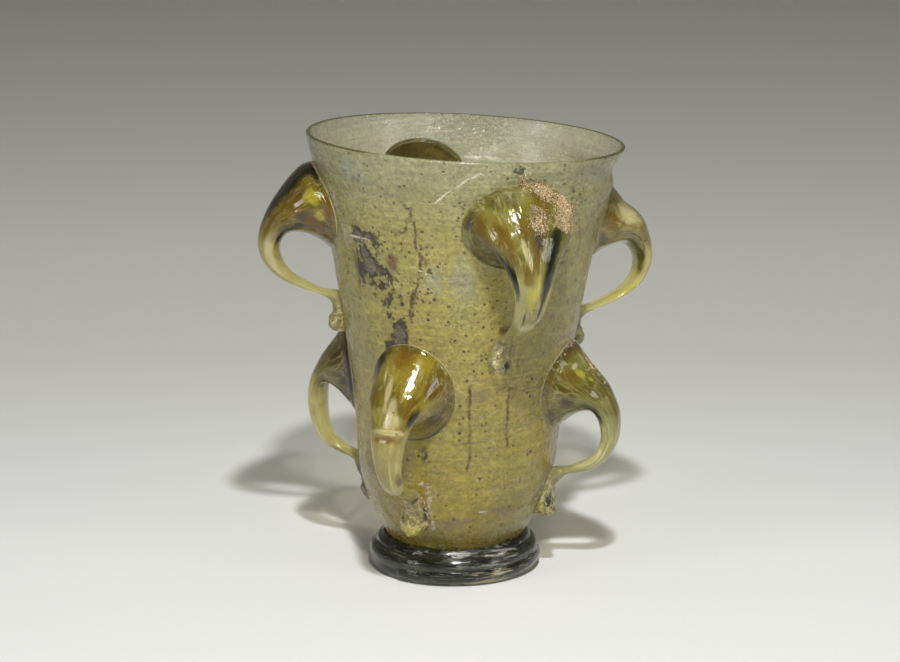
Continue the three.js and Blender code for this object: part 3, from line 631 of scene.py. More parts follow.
def buildClaw(name, material):
    plan, look, g = plans[name], clawLooks[name], clawGrid
    sides, contact, land = g["sides"], g["contact"], g["land"]
    theta = np.arange(sides) * 2 * math.pi / sides

    def ringsAt(ts, glass):
        # Points of the rings at shares along the claw, a thickness of glass inside its skin
        back, belly = splineAt(plan["back"], ts), splineAt(plan["belly"], ts)
        width = np.maximum(splineAt(plan["widths"], ts) - glass, 0.05)
        middle, across = (back + belly) / 2, (back - belly) / 2
        length = np.maximum(np.hypot(across[:, 0], across[:, 1]), 1e-6)
        across = across * (np.maximum(length - glass, 0.05) / length)[:, None]
        looped = plan["sway"] * smooth(g["swayFrom"], land, ts) + plan["bow"] * np.sin(math.pi * ts / land)
        hanging = plan["sway"] + (plan["tailSway"] - plan["sway"]) * (ts - land) / (1 - land)
        sway = np.where(ts <= land, looped, hanging)
        lobe = np.ones((len(ts), sides))
        if glass == 0:
            phase = look["turn"] * math.pi + look["twist"] * ts * math.pi
            amount = look["groove"] * smooth(g["grooveFrom"], g["grooveFull"], ts)
            amount = g["grooveDepth"] * amount * (1 - 0.6 * smooth(0.7, 0.85, ts))
            lobe = 1 - amount[:, None] * (1 - np.cos(look["lobes"] * (theta + phase[:, None])))
            radius = np.maximum((np.hypot(across[:, 0], across[:, 1]) + width) / 2, 0.5)[:, None]
            for *spot, depth in look.get("dents", []):
                lobe = lobe + depth * smooth(0, 0.8, spotField(ts[:, None], theta, [spot])) / radius
        out, z = [middle[:, k:k + 1] + across[:, k:k + 1] * np.cos(theta) * lobe for k in (0, 1)]
        return out, sway[:, None] + width[:, None] * np.sin(theta) * lobe, z

    ts = np.linspace(0, 1, g["rings"])
    out, side, z = ringsAt(ts, 0)
    # Pinches and drawn threads on the tail
    tailWork = g["tailWork"] * smooth(g["tailStart"], g["tailFull"], ts)[:, None]
    swirl = np.sin(side * 2.2 + z * 0.7 + plan["azimuth"]) + 0.7 * np.sin(side * 1.1 - z * 1.5 + 2)
    out = np.maximum(out, contact)
    out = np.maximum(out + tailWork * swirl * (out > 0.8), contact)
    hollowT = np.linspace(0, 1, g["hollowRings"])
    hollowAlong = g["hollowStart"] + (g["hollowEnd"] - g["hollowStart"]) * hollowT
    mouth = (contact, plan["mouthWidth"] * np.sin(theta), plan["seatZ"] + plan["mouthHeight"] * np.cos(theta))
    skins = [[out[::-1]], [side[::-1]], [z[::-1]]]
    for u, t in zip(hollowT, hollowAlong):
        # The hollow starts on the mouth and closes in a round end
        edge = max(0.0, 1 - u / g["mouthBlend"])
        close = math.sqrt(max(0.0, 1 - max(0.0, (u - g["hollowClose"]) / (1 - g["hollowClose"])) ** 2))
        rings = ringsAt(np.array([t]), plan["glass"] * (1 + g["hollowThicken"] * u))
        for k, (skin, ring, start) in enumerate(zip(skins, rings, mouth)):
            ring = ring[0] * (1 - edge) + start * edge
            ring = ring.mean() + (ring - ring.mean()) * close
            skin.append([np.maximum(ring, contact) if k == 0 else ring])
    out, side, z = [np.concatenate(skin) for skin in skins]
    azimuth = plan["azimuth"] + np.degrees(side / (wallRadius(z) + out))
    rows = len(out)
    along = np.concatenate([ts[::-1], hollowAlong])[:, None]
    outside = np.arange(rows)[:, None] < len(ts)
    radius = np.interp(along, np.linspace(0, 1, len(plan["widths"])), plan["widths"])
    flow = np.stack(np.broadcast_arrays(
        np.cos(theta) * radius, np.sin(theta) * radius, along * g["flowLength"]), -1)
    fields = {"along": along}
    for kind in ("dark", "honey", "lime", "plum", "pale"):
        hidden = look.get("lining", -2) if kind == "pale" else -2
        fields[kind] = np.where(outside, spotField(along, theta, look.get(kind, [])), hidden)
    soil = spotField(along, theta, look.get("soil", [])) - (1 - look.get("soilShare", 1))
    if name == "upper_claw_front":
        # The soil on the wall runs on over this claw's root
        near = out < g["soilReach"]
        soil = np.maximum(soil, np.where(near, patchField(azimuth, z, wallMarks["crust"]), -3))
    fields["crust"] = np.where(outside, soil, -3)
    pairs = [(s, (s + 1) % sides) for s in range(sides)]
    last, hub = (rows - 1) * sides, rows * sides
    faces = [(a + s, a + n, a + n + sides, a + s + sides) for a in range(0, last, sides) for s, n in pairs]
    for s, n in pairs:
        faces += [(hub, n, s), (hub + 1, last + s, last + n)]
    points = onWall(azimuth, out, z).reshape(-1, 3)
    points = settle(np.concatenate([points, [points[:sides].mean(0), points[-sides:].mean(0)]]))
    for kind, values in fields.items():
        values = np.broadcast_to(values, (rows, sides)).ravel()
        fields[kind] = np.concatenate([values, values[[0, -1]]])
    flow = flow.reshape(-1, 3)
    fields["flow"] = np.concatenate([flow, flow[[0, -1]]])
    camel = "".join(w.capitalize() if i else w for i, w in enumerate(name.split("_")))
    return addMesh(camel, points, facesOut(points, faces), fields, material)


class Nodes:
    # Adds nodes to one tree. Most calls give the socket that the next one reads
    def __init__(self, tree):
        self.tree = tree

    def feed(self, socket, value):
        if isinstance(value, bpy.types.Node):
            value = value.outputs[0]
        if isinstance(value, bpy.types.NodeSocket):
            self.tree.links.new(value, socket)
        elif socket.type == "RGBA":
            socket.default_value = tuple(value) + (1,) * (4 - len(value))
        else:
            socket.default_value = value

    def node(self, kind, inputs=None, **settings):
        made = self.tree.nodes.new(kind)
        for key, value in settings.items():
            setattr(made, key, value)
        for key, value in (inputs or {}).items():
            self.feed(made.inputs[key], value)
        return made

    def calc(self, operation, *values):
        return self.node("ShaderNodeMath", dict(enumerate(values)), operation=operation).outputs[0]

    def times(self, a, b):
        return self.calc("MULTIPLY", a, b)

    def most(self, a, b):
        return self.calc("MAXIMUM", a, b)

    def plus(self, base, value, share):
        return self.calc("MULTIPLY_ADD", value, share, base)

    def vector(self, operation, a, b):
        second = "Scale" if operation == "SCALE" else 1
        return self.node("ShaderNodeVectorMath", {0: a, second: b}, operation=operation).outputs[0]

    def noise(self, place, scale, detail, roughness=0.5):
        return self.node("ShaderNodeTexNoise", {
            "Vector": place, "Scale": scale, "Detail": detail, "Roughness": roughness}).outputs[0]

    def span(self, value, low, high, toLow=0.0, toHigh=1.0, kind="SMOOTHSTEP"):
        return self.node("ShaderNodeMapRange", {
            "Value": value, "From Min": low, "From Max": high, "To Min": toLow, "To Max": toHigh},
            interpolation_type=kind).outputs[0]

    def ramp(self, factor, stops):
        made = self.node("ShaderNodeValToRGB", {"Fac": factor})
        elements = made.color_ramp.elements
        while len(elements) < len(stops):
            elements.new(1)
        for element, (place, colour) in zip(elements, stops):
            element.position = place
            element.color = tuple(colour) + (1,)
        return made.outputs[0]

    def mix(self, factor, a, b, blend="MIX"):
        made = self.node("ShaderNodeMix", data_type="RGBA", blend_type=blend)
        made.clamp_factor = True
        for key, value in ((0, factor), (6, a), (7, b)):
            self.feed(made.inputs[key], value)
        return made.outputs[2]

    def group(self, group, place, output=0, **inputs):
        made = self.tree.nodes.new("ShaderNodeGroup")
        made.node_tree = group
        for key, value in {"Vector": place, **inputs}.items():
            self.feed(made.inputs[key], value)
        return made.outputs[output]

    def mottle(self, place, scale, low, high, **more):
        return self.group(mottleGroup, place, Scale=scale, Low=low, High=high, **more)

    def field(self, name, socket="Fac"):
        return self.node("ShaderNodeAttribute", attribute_name=name).outputs[socket]


class Skin(Nodes):
    # A Principled material; with a lamp tint, rays from lamps pass through it as through glass
    def __init__(self, name, lampTint=None, **plain):
        self.material = bpy.data.materials.new(name)
        self.material.use_nodes = True
        super().__init__(self.material.node_tree)
        self.tree.nodes.clear()
        self.shader = self.tree.nodes.new("ShaderNodeBsdfPrincipled")
        for key, value in plain.items():
            self.shader.inputs[key].default_value = value
        surface = self.shader.outputs[0]
        if lampTint:
            clear = self.node("ShaderNodeBsdfTransparent", {"Color": lampTint})
            lampRay = self.node("ShaderNodeLightPath").outputs["Is Shadow Ray"]
            surface = self.node("ShaderNodeMixShader", {0: lampRay, 1: surface, 2: clear})
        self.node("ShaderNodeOutputMaterial", {"Surface": surface})
        self.place = self.vector("SCALE", self.node("ShaderNodeTexCoord").outputs["Object"], 1 / mm)
        self.base = self.wander = None

    def startMarks(self, place, scale, roughness):
        # The noise that makes the edges of drawn marks ragged
        self.wander = self.calc("SUBTRACT", self.noise(place, scale, 5.0, roughness), 0.5)

    def mark(self, name, raggedness, low, high, toLow=0.0, toHigh=1.0):
        return self.span(self.plus(self.field(name), self.wander, raggedness), low, high, toLow, toHigh)

    def lay(self, mask, colour, strength=1.0):
        # Another colour over the base, where the mask has it
        self.base = self.mix(self.times(mask, strength), self.base, colour)

    def shade(self, factor, stops):
        self.base = self.mix(1.0, self.base, self.ramp(factor, stops), "MULTIPLY")

    def finish(self, rough, height, strength, distance=1.0):
        self.feed(self.shader.inputs["Base Color"], self.base)
        if rough is not None:
            self.feed(self.shader.inputs["Roughness"], rough)
        relief = self.node("ShaderNodeBump", {
            "Strength": strength, "Distance": distance * mm, "Height": height})
        self.feed(self.shader.inputs["Normal"], relief)
        return self.material


def newGroup(name, floats, outputs):
    # A group that reads a place and some named numbers
    tree = bpy.data.node_groups.new(name, "ShaderNodeTree")
    tree.interface.new_socket("Vector", in_out="INPUT", socket_type="NodeSocketVector")
    for label, value in floats.items():
        socket = tree.interface.new_socket(label, in_out="INPUT", socket_type="NodeSocketFloat")
        socket.default_value = value
    for label in outputs:
        tree.interface.new_socket(label, in_out="OUTPUT", socket_type="NodeSocketFloat")
    return Nodes(tree), tree.nodes.new("NodeGroupInput").outputs, tree.nodes.new("NodeGroupOutput").inputs


def makeSpecksGroup():
    # Small scattered pits and seeds: a mask that is 1 in a pit
    n, given, result = newGroup("specks", {"Scale": 0.4, "Amount": 0.3, "Size": 0.25}, ["Mask"])
    bend = n.node("ShaderNodeTexNoise", {"Vector": given["Vector"], "Scale": 1.3, "Detail": 3.0})
    place = n.vector("ADD", given["Vector"], n.vector("SCALE", bend.outputs["Color"], 0.9))
    cells = n.node("ShaderNodeTexVoronoi", {"Vector": place, "Scale": given["Scale"]})
    pick = n.node("ShaderNodeSeparateColor", {"Color": cells.outputs["Color"]}).outputs
    chosen = n.calc("LESS_THAN", pick[0], given["Amount"])
    radius = n.times(given["Size"], n.calc("MULTIPLY_ADD", pick[1], 0.8, 0.35))
    inside = n.span(n.calc("DIVIDE", cells.outputs["Distance"], radius), 0.65, 1.15, 1.0, 0.0)
    n.feed(result["Mask"], n.times(inside, chosen))
    return n.tree


def makeMottleGroup():
    # Cloudy variation, from 0 to 1
    floats = {"Scale": 0.05, "Roughness": 0.6, "Low": 0.35, "High": 0.65}
    n, given, result = newGroup("mottle", floats, ["Value"])
    cloud = n.node("ShaderNodeTexNoise", {
        "Vector": given["Vector"], "Scale": given["Scale"], "Detail": 6.0, "Roughness": given["Roughness"],
        "Distortion": 0.3})
    n.feed(result["Value"], n.span(cloud.outputs["Fac"], given["Low"], given["High"]))
    return n.tree


def makeStriaeGroup():
    # Fine level lines that blowing and turning leave in the glass, as a height
    n, given, result = newGroup("striae", {"Spacing": 1.2}, ["Height"])
    stretch = n.vector("MULTIPLY", given["Vector"], (0.035, 0.035, 1))
    n.feed(result["Height"], n.noise(stretch, n.calc("DIVIDE", 1.0, given["Spacing"]), 3.0, 0.55))
    return n.tree


def makeThreadsGroup():
    # Thin wandering lines: a mask that is 1 on a line
    n, given, result = newGroup("threads", {"Scale": 0.2, "Width": 0.02}, ["Mask"])
    away = n.calc("ABSOLUTE", n.calc("SUBTRACT", n.noise(given["Vector"], given["Scale"], 3.0), 0.5))
    n.feed(result["Mask"], n.span(away, 0.0, given["Width"], 1.0, 0.0))
    return n.tree


def makeSandGroup():
    # Granular sandy soil: its tone and its height
    n, given, result = newGroup("sand", {"Scale": 1.6}, ["Tone", "Height"])
    cells = n.node("ShaderNodeTexVoronoi", {"Vector": given["Vector"], "Scale": given["Scale"]})
    pick = n.node("ShaderNodeSeparateColor", {"Color": cells.outputs["Color"]})
    cloud = n.times(n.noise(given["Vector"], 0.5, 5.0), 0.4)
    n.feed(result["Tone"], n.plus(cloud, pick.outputs[0], 0.6))
    n.feed(result["Height"], n.calc("SUBTRACT", 1.0, cells.outputs["Distance"]))
    return n.tree


specksGroup, mottleGroup, striaeGroup = makeSpecksGroup(), makeMottleGroup(), makeStriaeGroup()
threadsGroup, sandGroup = makeThreadsGroup(), makeSandGroup()


grainScale = 1.4
soilTones = [
    (0.12, (0.06, 0.035, 0.015)), (0.4, (0.38, 0.26, 0.13)), (0.65, (0.68, 0.50, 0.28)),
    (0.9, (0.94, 0.80, 0.54)),
]
flakeTones = [(0.1, (0.22, 0.14, 0.08)), (0.4, (0.64, 0.50, 0.33)), (0.9, (1.0, 0.96, 0.84))]
wallGlassLook = {
    "rimPale": (0.41, 0.40, 0.26), "upper": (0.415, 0.365, 0.105), "middle": (0.45, 0.375, 0.095),
    "lower": (0.41, 0.325, 0.05), "foot": (0.27, 0.21, 0.035), "cloud": (0.33, 0.215, 0.04),
    "green": (0.26, 0.30, 0.10), "speck": (0.075, 0.033, 0.007), "stain": (0.024, 0.015, 0.008),
    "slate": (0.075, 0.068, 0.062), "slateGrain": (0.2, 0.17, 0.15), "bloom": (0.19, 0.14, 0.12),
    # The lip and throat colours are painted shade: a dark line on the lip's edge and dark claw mouths
    "pale": (0.72, 0.70, 0.50), "lip": (0.09, 0.085, 0.02), "lining": (0.47, 0.47, 0.38),
    "sheen": (0.36, 0.41, 0.35), "throat": (0.07, 0.075, 0.018), "red": (0.13, 0.035, 0.014),
    # Next, a painted highlight: the near-white colour of sparkles inside the back wall
    "paintedSparkle": (1.0, 1.0, 0.94), "scratch": (0.92, 0.9, 0.76),
    "transmission": 0.55, "lampTint": (0.60, 0.595, 0.565), "pitAmount": 0.13, "bump": 0.6,
}


def sandTone(m):
    # Soil in grains, with dark gaps between them
    tone = m.ramp(m.group(sandGroup, m.place, Scale=grainScale), soilTones)
    height = m.group(sandGroup, m.place, 1, Scale=grainScale)
    gap = m.ramp(height, [(0.35, (0.22, 0.2, 0.18)), (0.62, (1.0, 1.0, 1.0))])
    return m.mix(1.0, tone, gap, "MULTIPLY"), height


def makeWallGlass():
    c = wallGlassLook
    m = Skin("wallGlass", c["lampTint"], **{
        "Transmission Weight": c["transmission"], "IOR": 1.5, "Metallic": 0.0, "Coat Roughness": 0.14})
    place, times, mottle, mark, lay = m.place, m.times, m.mottle, m.mark, m.lay
    level, inside, azimuth = m.field("level"), m.field("inside"), m.field("azimuth")
    m.startMarks(place, 0.55, 0.65)

    # The glass itself: paler at the rim, golden lower down, with green and rusty clouds
    m.base = m.ramp(m.span(level, 10.0, 168.0, kind="LINEAR"), [
        (0, c["foot"]), (0.12, c["lower"]), (0.45, c["middle"]), (0.8, c["upper"]), (0.97, c["rimPale"])])
    lay(mottle(place, 0.032, 0.42, 0.62), c["green"], 0.32)
    lay(mottle(place, 0.055, 0.48, 0.68), c["cloud"], m.span(level, 155.0, 50.0, 0.08, 0.36))
    lay(mark("sheen", 6.0, -1.0, 1.5), c["sheen"], 0.55)
    striae = m.group(striaeGroup, place, Spacing=1.5)
    m.shade(striae, [(0.3, (0.84, 0.83, 0.8)), (0.7, (1.16, 1.16, 1.14))])
    grain = mottle(place, 0.75, 0.3, 0.7, Roughness=0.75)
    m.shade(grain, [(0, (0.64, 0.61, 0.54)), (1, (1.3, 1.3, 1.24))])
    m.shade(m.group(sandGroup, place, Scale=0.62), [(0.15, (0.86, 0.86, 0.83)), (0.8, (1.15, 1.15, 1.12))])
    threads = times(m.group(threadsGroup, place, Scale=0.22, Width=0.022), mottle(place, 0.08, 0.48, 0.62))
    hairs = m.group(threadsGroup, m.vector("MULTIPLY", place, (0.12, 0.12, 1)), Scale=0.5, Width=0.006)
    lay(m.most(threads, hairs), c["pale"], 0.34)
    lay(mottle(place, 0.5, 0.6, 0.72), c["pale"], 0.22)
    glint = mark("glint", 9.0, -1.0, 2.5)
    lay(m.calc("GREATER_THAN", inside, 0.9), c["lining"], m.span(level, 95.0, 135.0, 0.1, 0.75))
    # Painted highlight: near-white sparkles in the glint patches on the inner wall
    lay(glint, c["paintedSparkle"], m.group(specksGroup, place, Scale=0.55, Amount=0.5, Size=0.34))
    lay(mark("bloom", 3.0, -0.4, 0.8), c["bloom"], 0.4)

    # Pits, dense where the glass has crazed
    zone = m.span(m.field("pitZone"), -1.5, 3.0)
    small = m.group(specksGroup, place, Scale=0.62, Size=0.36, Amount=m.plus(c["pitAmount"], zone, 0.42))
    medium = m.group(specksGroup, place, Scale=0.34, Size=0.22, Amount=m.plus(0.09, zone, 0.3))
    large = m.group(specksGroup, place, Scale=0.16, Amount=0.16, Size=0.13)
    pits = times(m.most(m.most(small, medium), large), m.calc("LESS_THAN", inside, 0.4))
    lay(pits, c["speck"], 0.94)

    # Drawn marks: burnt spots, dark stains, cracks, scratches, flaking and soil
    lay(mark("red", 1.5, -0.5, 0.5), c["red"], 0.7)
    stain = times(mark("stain", 2.6, -0.12, 0.14), m.plus(0.25, mottle(place, 0.34, 0.38, 0.46), 0.75))
    middle = m.mix(grain, c["slate"], c["slateGrain"])
    lay(stain, m.mix(mark("stain", 2.4, 0.45, 1.0), c["stain"], middle), 0.95)
    crack = times(mark("crack", 1.9, 0.26, 0.8, 1.0, 0.0), m.plus(0.55, mottle(place, 0.6, 0.4, 0.55), 0.45))
    lay(crack, c["speck"], 0.95)
    lay(mark("scratch", 0.5, 0.16, 0.52, 1.0, 0.0), c["scratch"], 0.95)
    flake = mark("flake", 2.4, -0.15, 0.15)
    lay(flake, m.ramp(grain, flakeTones), 0.9)
    crust = times(mark("crust", 3.4, -0.2, 0.4), mottle(place, 0.42, 0.36, 0.52))
    soilTone, soilHeight = sandTone(m)
    lay(crust, soilTone)

    # Painted shade: a dark line on the edge of the lip, strongest left and right, and dark in the mouths of the
    # claws
    lip = times(m.span(inside, 0.3, 0.45), m.span(inside, 0.52, 0.58, 1.0, 0.0))
    lay(lip, c["lip"], m.most(m.span(azimuth, -60.0, -48.0, 0.95, 0.3), m.span(azimuth, 20.0, 40.0, 0.3, 0.95)))
    lay(m.span(inside, 0.56, 0.59), c["throat"], m.span(inside, 0.62, 0.9, 1.0, 0.0))

    film = mottle(place, 0.2, 0.35, 0.7)
    m.feed(m.shader.inputs["Coat Weight"], m.span(film, 0.0, 1.0, 0.4, 0.1, "LINEAR"))
    rough = times(m.span(film, 0.0, 1.0, 0.17, 0.4, "LINEAR"), m.span(glint, 0.0, 1.0, 1.0, 0.2, "LINEAR"))
    rough = m.most(m.most(rough, times(crust, 0.9)), times(m.most(stain, flake), 0.65))
    fine = m.noise(place, 1.2, 5.0, 0.6)
    bump = m.plus(times(fine, 0.35), striae, 0.5)
    for height, share in (
            (m.noise(place, 0.12, 2.0), 1.4), (pits, -0.8), (threads, 0.25), (m.most(crack, stain), -0.25),
            (times(flake, grain), 0.9), (times(crust, soilHeight), 1.3), (times(glint, fine), 3.0)):
        bump = m.plus(bump, height, share)
    return m.finish(rough, bump, c["bump"])


clawGlassLooks = {
    "golden": {"bulb": (0.39, 0.315, 0.04), "deep": (0.14, 0.09, 0.012), "trunk": (0.50, 0.44, 0.15),
               "tip": (0.50, 0.455, 0.19), "tail": (0.32, 0.27, 0.09), "dark": (0.012, 0.009, 0.004),
               "lampTint": (0.62, 0.61, 0.56)},
    "amber": {"bulb": (0.26, 0.195, 0.022), "deep": (0.10, 0.058, 0.007), "trunk": (0.50, 0.45, 0.15),
              "tip": (0.56, 0.52, 0.24), "tail": (0.30, 0.26, 0.09), "dark": (0.010, 0.008, 0.004),
              "lampTint": (0.60, 0.59, 0.54)},
    "green": {"bulb": (0.29, 0.275, 0.065), "deep": (0.13, 0.10, 0.018), "trunk": (0.50, 0.47, 0.19),
              "tip": (0.42, 0.41, 0.19), "tail": (0.30, 0.28, 0.12), "dark": (0.006, 0.010, 0.008),
              "lampTint": (0.62, 0.61, 0.56)},
    "pale": {"bulb": (0.42, 0.355, 0.125), "deep": (0.19, 0.155, 0.03), "trunk": (0.56, 0.51, 0.22),
             "tip": (0.62, 0.58, 0.28), "tail": (0.26, 0.25, 0.09), "dark": (0.085, 0.082, 0.012),
             "lampTint": (0.66, 0.65, 0.6)},
    "smoky": {"bulb": (0.26, 0.215, 0.07), "deep": (0.09, 0.065, 0.025), "trunk": (0.62, 0.56, 0.24),
              "tip": (0.44, 0.40, 0.15), "tail": (0.10, 0.085, 0.035), "dark": (0.022, 0.016, 0.008),
              "lampTint": (0.62, 0.61, 0.56)},
}
clawPatchLook = {
    "honey": (0.22, 0.12, 0.015), "lime": (0.70, 0.62, 0.07), "plum": (0.09, 0.06, 0.055),
    "pale": (0.86, 0.77, 0.42), "lip": (0.85, 0.80, 0.62), "speck": (0.02, 0.013, 0.007),
    "transmission": 0.68, "bump": 0.5,
}


def makeClawGlass(finish):
    c, patch = clawGlassLooks[finish], clawPatchLook
    m = Skin(finish + "ClawGlass", c["lampTint"], **{
        "Transmission Weight": patch["transmission"], "IOR": 1.5, "Metallic": 0.0, "Coat Weight": 0.12,
        "Coat Roughness": 0.05})
    place, times, mottle, lay = m.place, m.times, m.mottle, m.lay
    along, flow = m.field("along"), m.field("flow", "Vector")
    stretch = m.vector("MULTIPLY", flow, (1, 1, 0.1))
    tail = m.span(along, 0.8, 0.87)
    m.startMarks(flow, 0.3, 0.6)
    m.base = m.ramp(along, [
        (0, c["bulb"]), (0.3, c["bulb"]), (0.46, c["trunk"]), (0.78, c["tip"]), (0.84, c["tail"])])
    lay(mottle(flow, 0.1, 0.42, 0.62), c["deep"], m.span(along, 0.25, 0.5, 0.8, 0.12))
    lay(mottle(stretch, 0.4, 0.52, 0.72), c["deep"], 0.5)
    lay(m.group(threadsGroup, stretch, Scale=0.3, Width=0.03), patch["pale"], 0.4)
    # Coloured patches: dark ones partly painted shade on inner and under edges, pale ones partly painted
    # highlights, two lime spots painted glints
    for kind, strength, raggedness in (
            ("honey", 0.8, 1.4), ("lime", 0.9, 1.2), ("plum", 0.88, 1.2), ("dark", 0.97, 0.9),
            ("pale", 0.9, 0.7)):
        lay(m.mark(kind, raggedness, -0.08, 0.55), {**patch, **c}[kind], strength)
    lay(m.group(specksGroup, place, Scale=0.35, Amount=0.14, Size=0.16), patch["speck"], 0.8)
    lay(times(m.group(threadsGroup, place, Scale=0.35, Width=0.05), tail), patch["pale"], 0.85)
    lip = times(m.span(along, 0.008, 0.026, 1.0, 0.0), 0.9)
    lay(lip, patch["lip"], mottle(place, 0.5, 0.25, 0.45))
    crust = times(m.mark("crust", 1.6, 0.0, 0.3), mottle(place, 0.42, 0.36, 0.56))
    soilTone, soilHeight = sandTone(m)
    lay(crust, soilTone)
    rough = m.span(mottle(place, 0.25, 0.45, 0.8), 0.0, 1.0, 0.06, 0.17, "LINEAR")
    fine = times(m.noise(place, 0.5, 3.0), m.plus(0.12, tail, 2.4))
    bump = m.plus(m.plus(fine, m.noise(stretch, 0.25, 3.0), 1.0), times(crust, soilHeight), 1.3)
    return m.finish(m.most(rough, times(crust, 0.9)), bump, patch["bump"])


footLook = {
    "dark": (0.008, 0.009, 0.006), "green": (0.035, 0.038, 0.024), "silver": (0.72, 0.70, 0.58),
    "gold": (0.42, 0.36, 0.2), "lampTint": (0.3, 0.3, 0.26), "transmission": 0.2, "bump": 0.4,
}
footSizes = {
    "turns": 2.55, "baseRadius": 28.95, "topRadius": 26.3, "threadBase": 3.72, "threadTop": 1.75, "climb": 9.2,
    "startHeight": 3.7, "startTurn": -150, "drawIn": 0.4, "wobble": 0.5, "voxel": 0.33, "band": 1.5,
    "coreInset": 0.8, "coreTop": 0.985, "gap": 0.3, "bore": 23.2, "chamfer": 1.4, "chamferIn": 1.2,
    "overhang": 5.8, "columns": 96, "steps": 48, "sides": 20, "threshold": 0.1, "smoothing": 3,
    "underStep": 6, "wobbleScale": 55.0,
}
# Height share and overhang share of the core ring under the thread
footShares = [
    (0.0, 0.55), (0.04, 0.78), (0.15, 0.98), (0.27, 1), (0.4, 0.95), (0.53, 0.8), (0.66, 0.6), (0.79, 0.4),
    (0.9, 0.25), (0.97, 0.1),
]
# Weathered and golden patches on the wound foot: azimuth, height, half width, half height, turn
footMarks = {
    "silver": [
        (-12, 12, 6, 1.5, 4), (20, 11, 7, 1.2, -10), (6, 8, 7, 0.9, 0), (16, 4.5, 5, 0.7, 0),
        (62, 8, 3, 0.8, 0),
    ],
    "gold": [(6, 1.2, 10, 1.3, 0), (50, 2, 8, 1, 0), (15, 5, 6, 0.8, 0)],
}


def makeFootGlass():
    c = footLook
    m = Skin("footGlass", c["lampTint"], **{
        "Transmission Weight": c["transmission"], "IOR": 1.5, "Metallic": 0.0, "Coat Weight": 0.12,
        "Coat Roughness": 0.06})
    centred = m.vector("ADD", m.place, (-footAxis[0], -footAxis[1], 0))
    split = m.node("ShaderNodeSeparateXYZ", {0: centred}).outputs
    angle = m.calc("ARCTAN2", split[1], split[0])
    # Height measured up the winding, so that streaks run along the thread
    wound = m.plus(split[2], angle, footSizes["climb"] / footSizes["turns"] / (2 * math.pi))
    around = m.node("ShaderNodeCombineXYZ", {
        0: m.times(m.calc("COSINE", angle), 3.0), 1: m.times(m.calc("SINE", angle), 3.0), 2: wound}).outputs[0]
    m.startMarks(around, 1.0, 0.7)
    m.base = m.mix(m.mottle(around, 0.35, 0.45, 0.72), c["dark"], c["green"])
    streak = m.mottle(around, 1.3, 0.54, 0.7, Roughness=0.7)
    patch = m.mottle(m.place, 0.1, 0.45, 0.6)
    m.lay(streak, c["silver"], m.plus(0.14, patch, 0.34))
    silver = m.mark("silver", 4.2, -0.2, 0.7)
    m.lay(silver, c["silver"], m.times(0.85, m.span(streak, 0.0, 1.0, 0.35, 1.0)))
    m.lay(m.mark("gold", 3.2, -0.1, 0.3), c["gold"], 0.8)
    rough = m.span(m.most(m.times(streak, patch), silver), 0.0, 1.0, 0.08, 0.45, "LINEAR")
    return m.finish(rough, m.noise(around, 1.4, 4.0), c["bump"])


def vertexPlaces(mesh):
    places = np.zeros(len(mesh.vertices) * 3)
    mesh.vertices.foreach_get("co", places)
    return places.reshape(-1, 3) / mm


def bakeNodes(piece):
    # The evaluated result becomes the piece's own plain mesh
    evaluated = piece.evaluated_get(bpy.context.evaluated_depsgraph_get())
    mesh = bpy.data.meshes.new_from_object(evaluated)
    piece.modifiers.clear()
    piece.data = mesh
    return piece


class Maker(Nodes):
    # A Geometry Nodes tree with named inputs; it ends in real geometry with its material
    def __init__(self, name, inputs):
        super().__init__(bpy.data.node_groups.new(name, "GeometryNodeTree"))
        face, self.values = self.tree.interface, {}
        face.new_socket("Geometry", in_out="INPUT", socket_type="NodeSocketGeometry")
        for label, value in inputs.items():
            kind = "NodeSocketInt" if isinstance(value, int) else "NodeSocketFloat"
            self.values[face.new_socket(label, in_out="INPUT", socket_type=kind).identifier] = value
        face.new_socket("Geometry", in_out="OUTPUT", socket_type="NodeSocketGeometry")
        self.given = self.tree.nodes.new("NodeGroupInput").outputs

    def run(self, piece, geometry, material):
        real = self.node("GeometryNodeRealizeInstances", {"Geometry": geometry})
        dressed = self.node("GeometryNodeSetMaterial", {"Geometry": real, "Material": material})
        self.node("NodeGroupOutput", {0: dressed})
        modifier = piece.modifiers.new(self.tree.name, "NODES")
        modifier.node_group = self.tree
        for identifier, value in self.values.items():
            modifier[identifier] = value
        return bakeNodes(piece)


